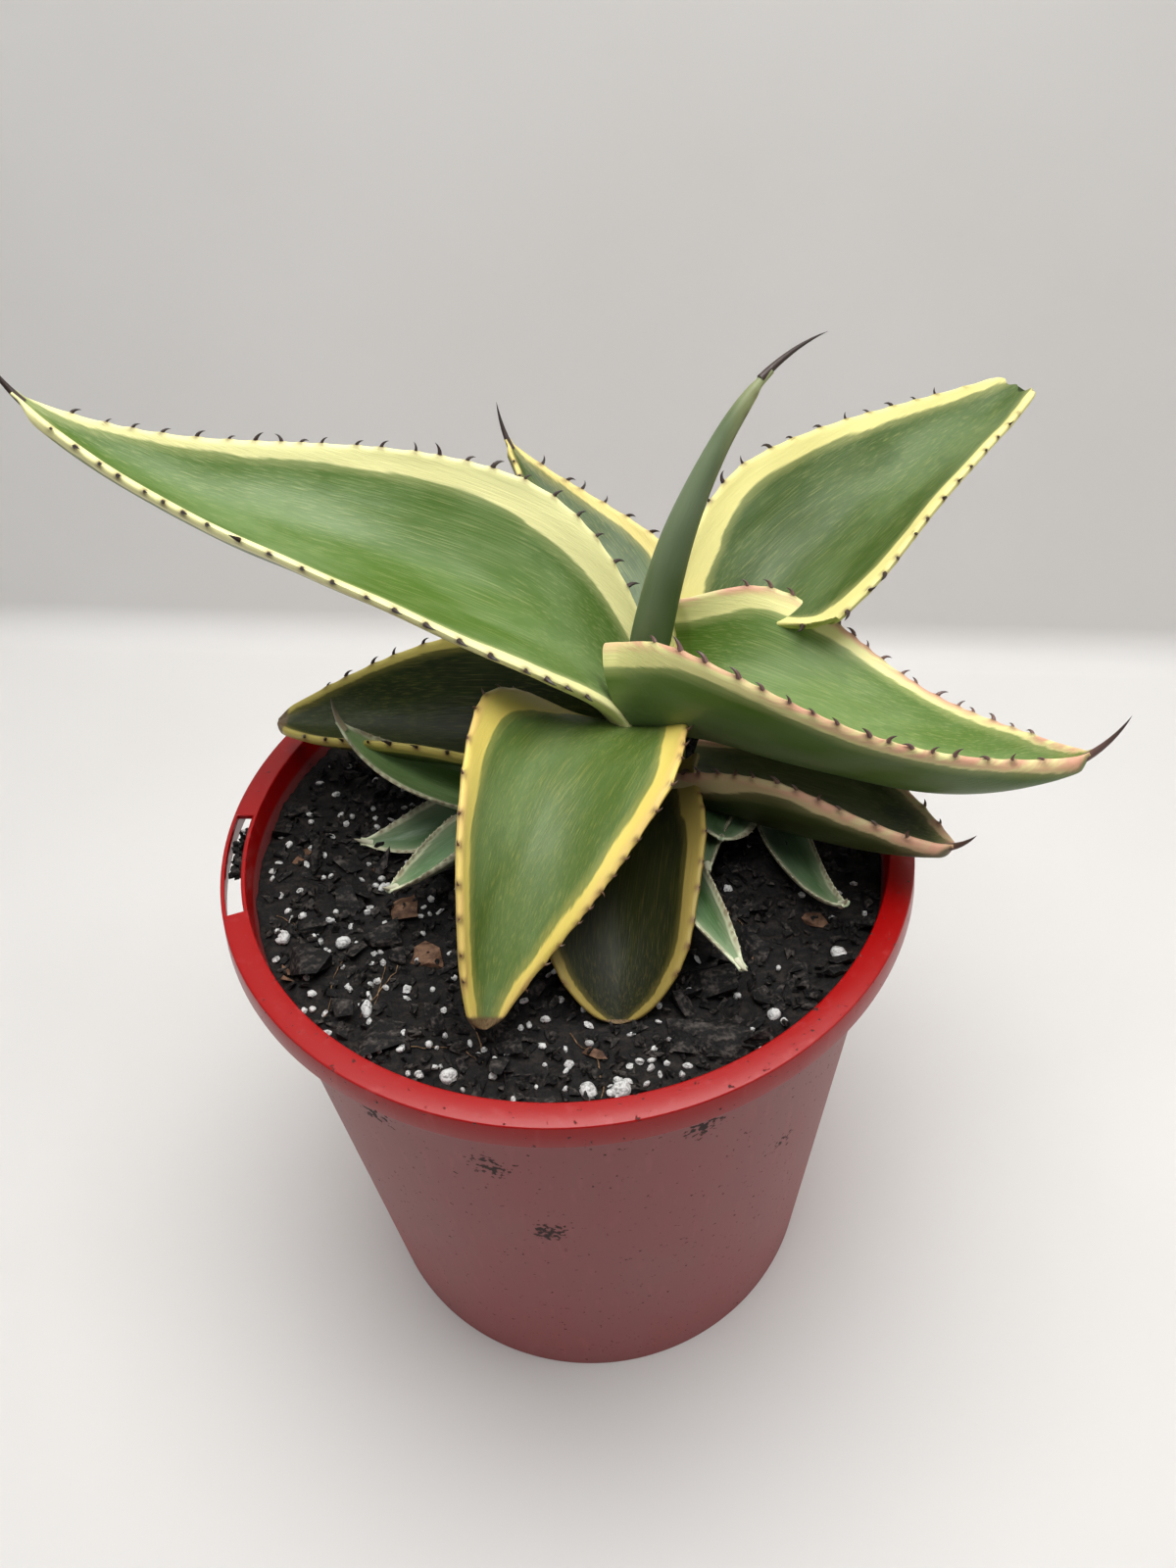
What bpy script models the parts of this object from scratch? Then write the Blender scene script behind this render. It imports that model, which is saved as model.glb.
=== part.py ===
"""A variegated agave with three young offsets, growing in a flanged nursery pot.

Metres, +Z up. The origin is the centre of the pot's underside. The sizes below are in
millimetres and degrees, and MM turns them into metres. Headings run counter-clockwise from +X.
"""

import math
from dataclasses import dataclass, replace

import bmesh
import bpy
from mathutils import Euler, Matrix, Vector, noise

MM = 0.001
GAP = 0.35  # clear space kept between neighbouring pieces

# Pot
POT_HEIGHT = 196.0
FLANGE_RADIUS = 100.0
MOUTH_RADIUS = 93.0  # inner edge of the flange
FOOT_RADIUS = 82.0
WALL = 1.2
FLANGE_THICKNESS = 1.4
SKIRT_DROP = 7.5
SKIRT_FLARE = 1.0
SKIRT_THICKNESS = 1.1
FLOOR = 1.8
PAD_RADIUS = 36.0  # flat centre pad, level with the foot
CHANNEL_RISE = 3.2  # drainage channel between the pad and the foot
CHANNEL_OUTER = 72.0
CHANNEL_SLOPE = 3.0
DRAIN_HOLES = 6
DRAIN_RADIUS = 5.0
EDGE_BREAK = 0.5
POT_STEPS = 48

# Label slot through the flange
SLOT_INNER, SLOT_OUTER = 94.2, 98.8
SLOT_FROM, SLOT_TO = 172.0, 195.0
SLOT_STEPS = 8

# Potting mix
SOIL_LEVEL = 185.0
SOIL_MOUND = 2.5
SOIL_CENTRE = (25.0, 15.0)
SOIL_SPREAD = 45.0
SOIL_UNEVEN = 1.2
SOIL_GRAIN = 22.0  # distance between one dip and the next
SOIL_RINGS = 5
SOIL_STEPS = 36

# Leaf sections
LEAF_COLUMNS, LEAF_ROWS = 3, 10  # columns are counted on each side of the midrib
YOUNG_COLUMNS, YOUNG_ROWS = 2, 7
HEADING_EASE = 1.3  # a leaf turns mostly towards its tip
CURL_EASE = 0.7  # the cup tightens towards the margin
NECK_EASE = 1.4
BELLY_THINNING = 0.6  # share of the thickness lost from base to tip
FINE_STEPS = 6
ROOT_RUN = 5.0  # length by which a leaf runs back towards its stem
TIP_HALF_WIDTH = 0.9
SPINE_END = 0.35
TUCKED_WIDTH = 0.25
LEAF_ROUGHNESS = 0.5


@dataclass(frozen=True)
class Stem:
    """An upright stem, widest at its foot."""

    name: str
    centre: tuple[float, float]
    bottom: float
    top: float
    foot_radius: float
    top_radius: float


@dataclass(frozen=True)
class Leaf:
    """A fleshy leaf. Triples run base, middle, tip, and pairs run base, tip."""

    name: str
    root: tuple[float, float, float]
    heading: tuple[float, float]
    rise: tuple[float, float, float]  # angle above level
    length: float
    width: float  # across the leaf, laid flat
    widest: float  # share of the length at which it is widest
    neck: float  # share of the width at the base
    taper: float  # above 1, the sides stay full and close late
    roll: tuple[float, float]
    left_cup: tuple[float, float, float]
    right_cup: tuple[float, float, float]
    thickness: float = 8.0
    edge: float = 2.0
    spine: float = 0.0
    blunt: float = 0.0  # share of the width left where the tip is cut
    tuck: tuple[float, float] = (0.0, 0.0)  # shares between which the right side comes out from a neighbour
    colour: tuple[int, int, int] = (116, 138, 86)
    columns: int = LEAF_COLUMNS
    rows: int = LEAF_ROWS


@dataclass(frozen=True)
class Bit:
    """A loose piece of bark or perlite lying on the potting mix."""

    name: str
    place: tuple[float, float]
    size: tuple[float, float, float]
    turn: tuple[float, float, float]
    colour: tuple[int, int, int]
    seed: int


STEMS = (
    Stem("stem_mother", (30, 22), 172, 221, 9.5, 7.5),
    Stem("stem_offset_left", (-9, 10), 172, 194, 5.0, 4.4),
    Stem("stem_offset_front", (26, 7), 172, 188, 3.4, 2.8),
    Stem("stem_offset_right", (57, 23), 172, 195, 4.2, 3.2),
)

# The innermost leaf comes first: each leaf is trimmed where an earlier one lies.
LEAVES = (
    Leaf(
        "leaf_heart",
        root=(22, 17, 226), heading=(214, 214), rise=(101, 117, 153),
        length=99, width=21, widest=0.20, neck=0.75, taper=1.4, roll=(17, -2),
        left_cup=(130, 130, 120), right_cup=(130, 130, 120),
        thickness=2.6, edge=1.4, spine=21, colour=(100, 115, 78),
    ),
    Leaf(
        "leaf_right_upper",
        root=(35, 18, 221), heading=(-38, -25), rise=(24, 1, 49),
        length=116, width=83, widest=0.16, neck=0.82, taper=1.9, roll=(-7, -20),
        left_cup=(101, 29, 84), right_cup=(106, 65, 73), spine=14,
    ),
    Leaf(
        "leaf_left_upper",
        root=(21, 23, 224), heading=(172, 159), rise=(62, 16, 45),
        length=186, width=67, widest=0.29, neck=0.45, taper=1.5, roll=(-16, 3),
        left_cup=(38, 44, 63), right_cup=(48, 59, 45), spine=12,
    ),
    Leaf(
        "leaf_back_right",
        root=(41, 29, 217), heading=(32, 33), rise=(51, 15, 17),
        length=146, width=66, widest=0.39, neck=0.40, taper=1.3, roll=(13, 0),
        left_cup=(57, 46, 45), right_cup=(14, 50, 43), blunt=0.22, tuck=(0.17, 0.27),
    ),
    Leaf(
        "leaf_back_left",
        root=(27, 32, 221), heading=(110, 122), rise=(47, 18, 43),
        length=93, width=46, widest=0.37, neck=0.62, taper=1.2, roll=(1, 16),
        left_cup=(49, 52, 67), right_cup=(50, 46, 56), thickness=6.0, spine=12,
    ),
    Leaf(
        "leaf_front_upper",
        root=(23, 14, 219), heading=(231, 255), rise=(34, -16, -44),
        length=109, width=62, widest=0.33, neck=0.59, taper=1.3, roll=(14, -43),
        left_cup=(31, 35, 12), right_cup=(-7, 63, 36), blunt=0.12, colour=(124, 144, 91),
    ),
    Leaf(
        "leaf_right_lower",
        root=(39, 14, 194), heading=(-40, -53), rise=(19, 13, 39),
        length=89, width=51, widest=0.48, neck=0.64, taper=1.4, roll=(-12, -18),
        left_cup=(53, 47, 53), right_cup=(57, 74, 49), spine=8, colour=(88, 92, 48),
    ),
    Leaf(
        "leaf_left_lower",
        root=(19, 24, 205), heading=(169, 172), rise=(10, -2, 7),
        length=107, width=60, widest=0.41, neck=0.62, taper=1.7, roll=(-16, -3),
        left_cup=(23, 67, 40), right_cup=(54, 48, 59), blunt=0.10, colour=(62, 78, 36),
    ),
    Leaf(
        "leaf_front_lower",
        root=(27, 12, 199), heading=(252, 264), rise=(4, -7, -37),
        length=82, width=48, widest=0.44, neck=0.62, taper=2.0, roll=(3, 2),
        left_cup=(50, 51, 44), right_cup=(52, 38, 52),
        thickness=5.0, blunt=0.5, colour=(58, 62, 22),
    ),
)

YOUNG = Leaf(
    "leaf_young",
    root=(0, 0, 190), heading=(0, 0), rise=(20, 10, 10),
    length=50, width=20, widest=0.36, neck=0.7, taper=1.8, roll=(0, 0),
    left_cup=(60, 70, 55), right_cup=(60, 60, 60),
    thickness=2.4, edge=1.0, spine=3, colour=(92, 122, 88),
    columns=YOUNG_COLUMNS, rows=YOUNG_ROWS,
)

OFFSET_LEAVES = (
    replace(
        YOUNG, name="offset_left_leaf_1",
        root=(-12, 5.5, 193.5), heading=(171, 156), rise=(26, 24, 68),
        length=63, width=24, widest=0.33, taper=1.6, roll=(5, -2),
        left_cup=(65, 50, 43), right_cup=(63, 40, 55), spine=9, colour=(104, 140, 74),
    ),
    replace(
        YOUNG, name="offset_left_leaf_2",
        root=(-13, 10, 189), heading=(228, 231), rise=(28, 14, 29),
        length=58, width=19, taper=1.7, roll=(5, 2),
        left_cup=(61, 87, 51), right_cup=(60, 77, 59),
    ),
    replace(
        YOUNG, name="offset_left_leaf_3",
        root=(-13, 14, 189), heading=(193, 192), rise=(19, -8, 28),
        length=50, width=19, taper=1.9, roll=(-1, -25),
        left_cup=(62, 42, 39), right_cup=(60, 52, 60),
    ),
    replace(
        YOUNG, name="offset_front_leaf_1",
        root=(26, 9, 188), heading=(-83, -74), rise=(7, 16, 12),
        length=80, width=17, neck=0.76, taper=2.0, roll=(6, 2),
        left_cup=(58, 81, 43), right_cup=(62, 53, 64),
    ),
    replace(
        YOUNG, name="offset_front_leaf_2",
        root=(24, 4, 191), heading=(240, 248), rise=(24, -1, 28),
        length=45, width=19, widest=0.41, neck=0.66, roll=(13, -11),
        left_cup=(79, 60, 47), right_cup=(60, 60, 60),
    ),
    replace(
        YOUNG, name="offset_right_leaf_1",
        root=(55, 20, 196), heading=(-111, -102), rise=(10, 0, 48),
        length=42, width=21, widest=0.39, taper=3.0, roll=(3, -9),
        left_cup=(63, 34, 5), right_cup=(62, 26, 19), spine=1,
    ),
    replace(
        YOUNG, name="offset_right_leaf_2",
        root=(59, 10, 188), heading=(-79, -75), rise=(10, 7, 50),
        length=61, width=17, neck=0.61, taper=1.3, roll=(-2, 12),
        left_cup=(62, 78, 64), right_cup=(70, 65, 59),
    ),
    replace(
        YOUNG, name="offset_right_leaf_3",
        root=(53, 17, 188), heading=(-116, -101), rise=(19, 10, 7),
        length=46, width=16, widest=0.34, taper=1.5, roll=(1, 14),
        left_cup=(49, 61, 68), right_cup=(50, 56, 56),
    ),
)

BROWN = (92, 70, 56)
DARK = (38, 36, 38)
PERLITE = (176, 176, 178)

BITS = (
    Bit("bark_chip_1", (-42, -36), (11, 10, 3), (8, -6, 20), BROWN, 1),
    Bit("bark_chip_2", (-48, -19), (13, 6, 3), (5, 10, -50), BROWN, 2),
    Bit("bark_chip_3", (-54, -29), (13, 10, 5), (-8, 6, -10), DARK, 3),
    Bit("bark_chip_4", (-73, -38), (16, 12, 6), (10, 8, 35), DARK, 4),
    Bit("bark_chip_5", (-49, -64), (20, 13, 4), (-6, 5, 15), DARK, 5),
    Bit("bark_chip_6", (31, -73), (24, 15, 6), (6, -4, 12), DARK, 6),
    Bit("bark_chip_7", (36, -56), (15, 9, 6), (-8, 8, -20), DARK, 7),
    Bit("perlite_1", (-82, -26), (3.4, 5.0, 3.0), (0, 20, 15), PERLITE, 11),
    Bit("perlite_2", (-65, -30), (4.6, 3.6, 3.0), (10, 0, 30), PERLITE, 12),
    Bit("perlite_3", (-57, -53), (2.8, 6.4, 2.8), (5, 10, 8), PERLITE, 13),
    Bit("perlite_4", (-35, -76), (5.0, 4.6, 3.8), (15, 5, 40), PERLITE, 14),
    Bit("perlite_5", (0, -84), (4.0, 5.4, 3.6), (0, 12, 15), PERLITE, 15),
    Bit("perlite_6", (8, -84.5), (5.4, 4.2, 3.6), (8, 0, 10), PERLITE, 16),
    Bit("perlite_7", (71, -49), (4.4, 5.2, 3.4), (0, 8, 20), PERLITE, 17),
    Bit("perlite_8", (50, -66), (3.8, 3.4, 2.8), (12, 6, 0), PERLITE, 18),
)

POT_COLOUR = (186, 24, 30)
SOIL_COLOUR = (26, 24, 24)
STEM_COLOUR = (124, 132, 84)


def linear(colour):
    """Display red, green and blue, 0 to 255, as linear colour."""
    return tuple((channel / 255) ** 2.2 for channel in colour) + (1.0,)


def material(name, colour, roughness):
    shade = bpy.data.materials.new(name)
    shade.use_nodes = True
    surface = shade.node_tree.nodes["Principled BSDF"]
    surface.inputs["Base Color"].default_value = linear(colour)
    surface.inputs["Roughness"].default_value = roughness
    surface.inputs["Metallic"].default_value = 0.0
    return shade


def add_object(name, bm, shade=None):
    """An object from bm, in millimetres. One with no material is a cutter."""
    bmesh.ops.scale(bm, vec=(MM, MM, MM), verts=bm.verts)
    bmesh.ops.recalc_face_normals(bm, faces=bm.faces)
    bmesh.ops.triangulate(bm, faces=bm.faces)  # so that a twisted face is the same for every cut
    mesh = bpy.data.meshes.new(name)
    bm.to_mesh(mesh)
    bm.free()
    obj = bpy.data.objects.new(name, mesh)
    bpy.context.scene.collection.objects.link(obj)
    if shade:
        mesh.materials.append(shade)
        mesh.shade_smooth()
        mesh.set_sharp_from_angle(angle=math.radians(40))
    else:
        obj.hide_render = True
        obj.display_type = "WIRE"
    return obj


def cut(obj, cutter):
    boolean = obj.modifiers.new(f"cut {cutter.name}", "BOOLEAN")
    boolean.operation = "DIFFERENCE"
    boolean.object = cutter


def bodies(bm):
    """The faces of bm, grouped by the closed body they belong to."""
    left = set(bm.faces)
    while left:
        body = set()
        edge = {next(iter(left))}
        while edge:
            body |= edge
            joined = {e for face in edge for e in face.edges if len(e.link_faces) == 2}
            edge = {face for e in joined for face in e.link_faces} - body
        left -= body
        yield body


def settle(obj):
    """Applies the object's cuts and drops any sliver that they left loose."""
    graph = bpy.context.evaluated_depsgraph_get()
    bm = bmesh.new()
    bm.from_object(obj, graph)
    obj.modifiers.clear()
    loose = sorted(bodies(bm), key=len)[:-1]
    bmesh.ops.delete(bm, geom=[face for body in loose for face in body], context="FACES")
    bm.to_mesh(obj.data)
    bm.free()


def boxes_meet(first, second):
    boxes = []
    for obj in (first, second):
        corners = [Vector(corner) for corner in obj.bound_box]
        boxes.append([(min(axis), max(axis)) for axis in zip(*corners)])
    return all(a[0] < b[1] and b[0] < a[1] for a, b in zip(*boxes))


def clear_of(obj, cutters):
    """Trims obj where the cutters lie."""
    for cutter in cutters:
        if boxes_meet(obj, cutter):
            cut(obj, cutter)
    settle(obj)


def spun(bm, profile, steps):
    """Turns a closed outline of (radius, height) points about Z."""
    verts = [bm.verts.new((radius, 0, height)) for radius, height in profile]
    edges = [bm.edges.new((verts[i - 1], verts[i])) for i in range(len(verts))]
    bmesh.ops.spin(
        bm, geom=verts + edges, cent=(0, 0, 0), axis=(0, 0, 1),
        angle=math.tau, steps=steps, use_merge=True,
    )
    bmesh.ops.remove_doubles(bm, verts=bm.verts, dist=1e-4)


def wall_radius(height):
    """Outer radius of the pot's tapered wall."""
    top = POT_HEIGHT - FLANGE_THICKNESS
    return FOOT_RADIUS + (MOUTH_RADIUS + WALL - FOOT_RADIUS) * height / top


def pot_profile():
    """The pot's section, up its outside and down its inside."""
    rim = POT_HEIGHT
    skirt = rim - SKIRT_DROP
    under = rim - FLANGE_THICKNESS
    flare = FLANGE_RADIUS + SKIRT_FLARE
    lifted = CHANNEL_RISE + FLOOR
    inside = FOOT_RADIUS - WALL
    return [
        (0, 0),
        (PAD_RADIUS, 0),
        (PAD_RADIUS + CHANNEL_SLOPE, CHANNEL_RISE),
        (CHANNEL_OUTER, CHANNEL_RISE),
        (CHANNEL_OUTER + CHANNEL_SLOPE, 0),
        (FOOT_RADIUS - EDGE_BREAK, 0),
        (FOOT_RADIUS, EDGE_BREAK),
        (wall_radius(under), under),
        (FLANGE_RADIUS - SKIRT_THICKNESS, under),
        (flare - SKIRT_THICKNESS, skirt),
        (flare, skirt),
        (FLANGE_RADIUS, rim - EDGE_BREAK),
        (FLANGE_RADIUS - EDGE_BREAK, rim),
        (MOUTH_RADIUS + EDGE_BREAK, rim),
        (MOUTH_RADIUS, rim - EDGE_BREAK),
        (inside, FLOOR + 1),
        (inside - 1, FLOOR),
        (CHANNEL_OUTER + CHANNEL_SLOPE + FLOOR, FLOOR),
        (CHANNEL_OUTER + FLOOR, lifted),
        (PAD_RADIUS + CHANNEL_SLOPE - FLOOR, lifted),
        (PAD_RADIUS - FLOOR, FLOOR),
        (0, FLOOR),
    ]


def label_slot():
    """A curved cutter through the flange, long enough for a plant label."""
    bm = bmesh.new()
    low, high = POT_HEIGHT - 2 * SKIRT_DROP, POT_HEIGHT + 5
    sections = []
    for step in range(SLOT_STEPS + 1):
        angle = math.radians(SLOT_FROM + (SLOT_TO - SLOT_FROM) * step / SLOT_STEPS)
        aim = Vector((math.cos(angle), math.sin(angle), 0))
        corners = [(SLOT_INNER, low), (SLOT_OUTER, low), (SLOT_OUTER, high), (SLOT_INNER, high)]
        sections.append([bm.verts.new(aim * r + Vector((0, 0, z))) for r, z in corners])
    for here, there in zip(sections, sections[1:]):
        for i in range(4):
            bm.faces.new((here[i - 1], here[i], there[i], there[i - 1]))
    bm.faces.new(sections[0])
    bm.faces.new(sections[-1])
    return add_object("slot_cutter", bm)


def drain_hole(index):
    bm = bmesh.new()
    angle = math.tau * (index + 0.5) / DRAIN_HOLES
    middle = (PAD_RADIUS + CHANNEL_SLOPE + CHANNEL_OUTER) / 2
    place = Vector((middle * math.cos(angle), middle * math.sin(angle), CHANNEL_RISE))
    bmesh.ops.create_cone(
        bm, cap_ends=True, segments=16, radius1=DRAIN_RADIUS, radius2=DRAIN_RADIUS,
        depth=10, matrix=Matrix.Translation(place),
    )
    return add_object(f"drain_cutter_{index + 1}", bm)


def make_pot():
    bm = bmesh.new()
    spun(bm, pot_profile(), POT_STEPS)
    pot = add_object("pot", bm, material("red plastic", POT_COLOUR, 0.35))
    cut(pot, label_slot())
    for index in range(DRAIN_HOLES):
        cut(pot, drain_hole(index))
    return pot


def soil_height(x, y):
    """Height of the potting mix: level at the rim, mounded at the plants, a little uneven."""
    away = math.dist((x, y), SOIL_CENTRE)
    mound = SOIL_MOUND * math.exp(-((away / SOIL_SPREAD) ** 2))
    uneven = SOIL_UNEVEN * noise.noise(Vector((x, y, 0)) / SOIL_GRAIN)
    return SOIL_LEVEL + mound + uneven


def make_soil():
    """The potting mix, filling the pot from its floor to its top."""
    bm = bmesh.new()
    bottom = CHANNEL_RISE + FLOOR + GAP
    top_radius = wall_radius(SOIL_LEVEL) - WALL - 3 * GAP
    bottom_radius = wall_radius(bottom) - WALL - 3 * GAP

    def ring(radius, height):
        verts = []
        for step in range(SOIL_STEPS):
            angle = math.tau * step / SOIL_STEPS
            x, y = radius * math.cos(angle), radius * math.sin(angle)
            verts.append(bm.verts.new((x, y, height(x, y))))
        return verts

    rings = [ring(top_radius * n / SOIL_RINGS, soil_height) for n in range(1, SOIL_RINGS + 1)]
    rings.append(ring(bottom_radius, lambda x, y: bottom))
    for inner, outer in zip(rings, rings[1:]):
        for i in range(SOIL_STEPS):
            bm.faces.new((inner[i - 1], inner[i], outer[i], outer[i - 1]))
    centre = bm.verts.new((0, 0, soil_height(0, 0)))
    for i in range(SOIL_STEPS):
        bm.faces.new((centre, rings[0][i], rings[0][i - 1]))
    bm.faces.new(rings[-1])
    return add_object("potting_mix", bm, material("potting mix", SOIL_COLOUR, 0.9))


def make_stem(stem, swell=0.0):
    bm = bmesh.new()
    depth = stem.top - stem.bottom + 2 * swell
    place = Matrix.Translation((*stem.centre, (stem.top + stem.bottom) / 2))
    bmesh.ops.create_cone(
        bm, cap_ends=True, segments=20, radius1=stem.foot_radius + swell,
        radius2=stem.top_radius + swell, depth=depth, matrix=place,
    )
    if swell:
        return add_object(f"{stem.name}_cutter", bm)
    return add_object(stem.name, bm, material(stem.name, STEM_COLOUR, 0.6))


def through(values, share):
    """The parabola through three values, at the base, the middle and the tip."""
    base, middle, tip = values
    late = 2 * share - 1
    return base * late * (share - 1) + middle * 4 * share * (1 - share) + tip * share * late


def blend(pair, share):
    return pair[0] + (pair[1] - pair[0]) * share


def direction(leaf, share):
    """Which way the midrib runs, and the level direction to its left."""
    turn = min(max(share, 0.0), 1.0) ** HEADING_EASE
    heading = math.radians(blend(leaf.heading, turn))
    rise = math.radians(through(leaf.rise, min(max(share, 0.0), 1.0)))
    flat = Vector((math.cos(heading), math.sin(heading), 0))
    along = flat * math.cos(rise) + Vector((0, 0, math.sin(rise)))
    return along, Vector((-flat.y, flat.x, 0))


def half_width(leaf, share):
    if share < leaf.widest:
        swelling = math.sin(math.pi / 2 * max(share, 0.0) / leaf.widest) ** NECK_EASE
        part = blend((leaf.neck, 1.0), swelling)
    else:
        closing = ((share - leaf.widest) / (1 - leaf.widest)) ** leaf.taper
        part = blend((1.0, leaf.blunt), closing)
    return max(leaf.width / 2 * part, TIP_HALF_WIDTH)


def tucked(leaf, share):
    """Share of its width that the right side keeps where it is tucked under a neighbour."""
    start, end = leaf.tuck
    if end == 0.0:
        return 1.0
    out = min(max((share - start) / (end - start), 0.0), 1.0)
    return blend((TUCKED_WIDTH, 1.0), out * out * (3 - 2 * out))


def half_section(cup, half, columns):
    """(across, inward, lean) of the upper face from the midrib to one margin."""
    points = [(0.0, 0.0, 0.0)]
    for column in range(columns):
        across, inward, _ = points[-1]
        for step in range(FINE_STEPS):
            run = (column + (step + 0.5) / FINE_STEPS) / columns
            lean = cup * run**CURL_EASE
            across += math.cos(lean) * half / (columns * FINE_STEPS)
            inward += math.sin(lean) * half / (columns * FINE_STEPS)
        lean = cup * ((column + 1) / columns) ** CURL_EASE
        points.append((across, inward, lean))
    return points


def leaf_section(leaf, share, centre, swell):
    """The upper and lower rows of points across the leaf, each from its left to its right."""
    along, level = direction(leaf, share)
    raised = along.cross(level)
    roll = math.radians(blend(leaf.roll, share))
    left = level * math.cos(roll) + raised * math.sin(roll)
    up = raised * math.cos(roll) - level * math.sin(roll)
    full = half_width(leaf, share)
    belly = leaf.thickness * (1 - BELLY_THINNING * share)
    upper, lower = [], []
    for side, cup, kept in ((left, leaf.left_cup, 1.0), (-left, leaf.right_cup, tucked(leaf, share))):
        half = full * kept + swell
        bend = math.radians(through(cup, share))
        rows = []
        for column, (across, inward, lean) in enumerate(half_section(bend, half, leaf.columns)):
            point = centre + side * across + up * inward
            face = up * math.cos(lean) - side * math.sin(lean)
            thin = (column / leaf.columns) ** 2
            depth = blend((belly, leaf.edge), thin)
            depth = min(depth, half)
            rows.append((point + face * swell, point - face * (depth + swell)))
        if side is left:
            rows.reverse()
        else:
            rows = rows[1:]
        upper += [row[0] for row in rows]
        lower += [row[1] for row in rows]
    return upper, lower


def leaf_stations(leaf, swell):
    """(share, centre) along the midrib, from the base to the tip."""
    count = leaf.rows * FINE_STEPS
    centre = Vector(leaf.root)
    step = leaf.length / count
    stations = [(0.0, centre.copy())]
    for index in range(count):
        centre += direction(leaf, (index + 0.5) / count)[0] * step
        if (index + 1) % FINE_STEPS == 0:
            stations.append(((index + 1) / count, centre.copy()))
    start = stations[0][1] - direction(leaf, 0.0)[0] * (ROOT_RUN + swell)
    return [(0.0, start), *stations]


def make_leaf(leaf, swell=0.0):
    """A leaf, or with a swell, the cutter that keeps its neighbours clear of it."""
    bm = bmesh.new()
    stations = leaf_stations(leaf, swell)
    rows = [leaf_section(leaf, share, centre, swell) for share, centre in stations]
    if leaf.spine:
        tip = stations[-1][1]
        end = tip + direction(leaf, 1.0)[0] * (leaf.spine + swell)
        narrow = (SPINE_END + swell) / TIP_HALF_WIDTH
        rows.append([[end + (point - tip) * narrow for point in row] for row in rows[-1]])
    grid = [[[bm.verts.new(point) for point in row] for row in pair] for pair in rows]
    for (upper, lower), (next_upper, next_lower) in zip(grid, grid[1:]):
        for i in range(len(upper) - 1):
            bm.faces.new((upper[i], upper[i + 1], next_upper[i + 1], next_upper[i]))
            bm.faces.new((lower[i], lower[i + 1], next_lower[i + 1], next_lower[i]))
        for i in (0, -1):
            bm.faces.new((upper[i], lower[i], next_lower[i], next_upper[i]))
    for upper, lower in (grid[0], grid[-1]):
        for i in range(len(upper) - 1):
            bm.faces.new((upper[i], upper[i + 1], lower[i + 1], lower[i]))
    if swell:
        return add_object(f"{leaf.name}_cutter", bm)
    return add_object(leaf.name, bm, material(leaf.name, leaf.colour, LEAF_ROUGHNESS))


def make_bit(bit, swell=0.0):
    """An uneven lump, half sunk in the potting mix."""
    bm = bmesh.new()
    bmesh.ops.create_icosphere(bm, subdivisions=1, radius=0.5)
    for vert in bm.verts:
        rough = noise.noise(vert.co * 2.5 + Vector((bit.seed, 0, 0)))
        vert.co *= 1 + 0.25 * rough
        vert.co = Vector([c * size for c, size in zip(vert.co, bit.size)])
        vert.co += vert.co.normalized() * swell
    turn = Euler([math.radians(angle) for angle in bit.turn]).to_matrix().to_4x4()
    height = soil_height(*bit.place) + 0.15 * bit.size[2]
    bm.transform(Matrix.Translation((*bit.place, height)) @ turn)
    if swell:
        return add_object(f"{bit.name}_cutter", bm)
    return add_object(bit.name, bm, material(bit.name, bit.colour, 0.85))


def clear_scene():
    for obj in list(bpy.data.objects):
        bpy.data.objects.remove(obj)


def main():
    clear_scene()
    make_pot()
    soil = make_soil()
    kept = []
    for stem in STEMS:
        make_stem(stem)
        kept.append(make_stem(stem, GAP))
    for leaf in LEAVES + OFFSET_LEAVES:
        blade = make_leaf(leaf)
        clear_of(blade, kept)
        kept.append(make_leaf(leaf, GAP))
    for bit in BITS:
        make_bit(bit)
        kept.append(make_bit(bit, GAP))
    clear_of(soil, kept)


main()
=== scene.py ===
"""A variegated agave and its young offsets in a red nursery pot, finished for rendering.

Sizes in the classes are millimetres and degrees; MM turns them into the frame's metres.
The origin is the centre of the pot's underside and +Z is up.
"""

import logging
import math
import random
from dataclasses import dataclass, field, replace
from enum import Enum
from typing import Any, Callable, Iterator, Sequence

import bmesh
import bpy
from mathutils import Euler, Matrix, Vector, noise
from mathutils.bvhtree import BVHTree


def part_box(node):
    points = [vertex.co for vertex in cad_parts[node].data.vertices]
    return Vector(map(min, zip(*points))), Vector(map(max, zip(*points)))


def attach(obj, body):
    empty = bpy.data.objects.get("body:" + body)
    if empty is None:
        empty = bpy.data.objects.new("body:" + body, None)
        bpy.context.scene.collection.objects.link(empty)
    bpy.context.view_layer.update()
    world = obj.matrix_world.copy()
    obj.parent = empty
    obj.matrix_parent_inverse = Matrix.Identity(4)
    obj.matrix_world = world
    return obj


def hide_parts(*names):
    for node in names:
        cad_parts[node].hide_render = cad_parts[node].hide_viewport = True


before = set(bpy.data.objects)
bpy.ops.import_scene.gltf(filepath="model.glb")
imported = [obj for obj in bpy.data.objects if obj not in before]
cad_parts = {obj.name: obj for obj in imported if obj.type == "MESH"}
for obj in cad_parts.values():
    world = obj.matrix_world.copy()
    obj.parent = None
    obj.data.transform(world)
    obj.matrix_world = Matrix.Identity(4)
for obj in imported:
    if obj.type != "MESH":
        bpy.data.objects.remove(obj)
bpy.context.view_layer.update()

MM = 0.001
UP = Vector((0, 0, 1))
SHARP_EDGE = 42  # least angle, in degrees, that stays a crisp edge
Colour = tuple[int, int, int]
Triple = tuple[float, float, float]

log = logging.getLogger("potted_agave")


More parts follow.
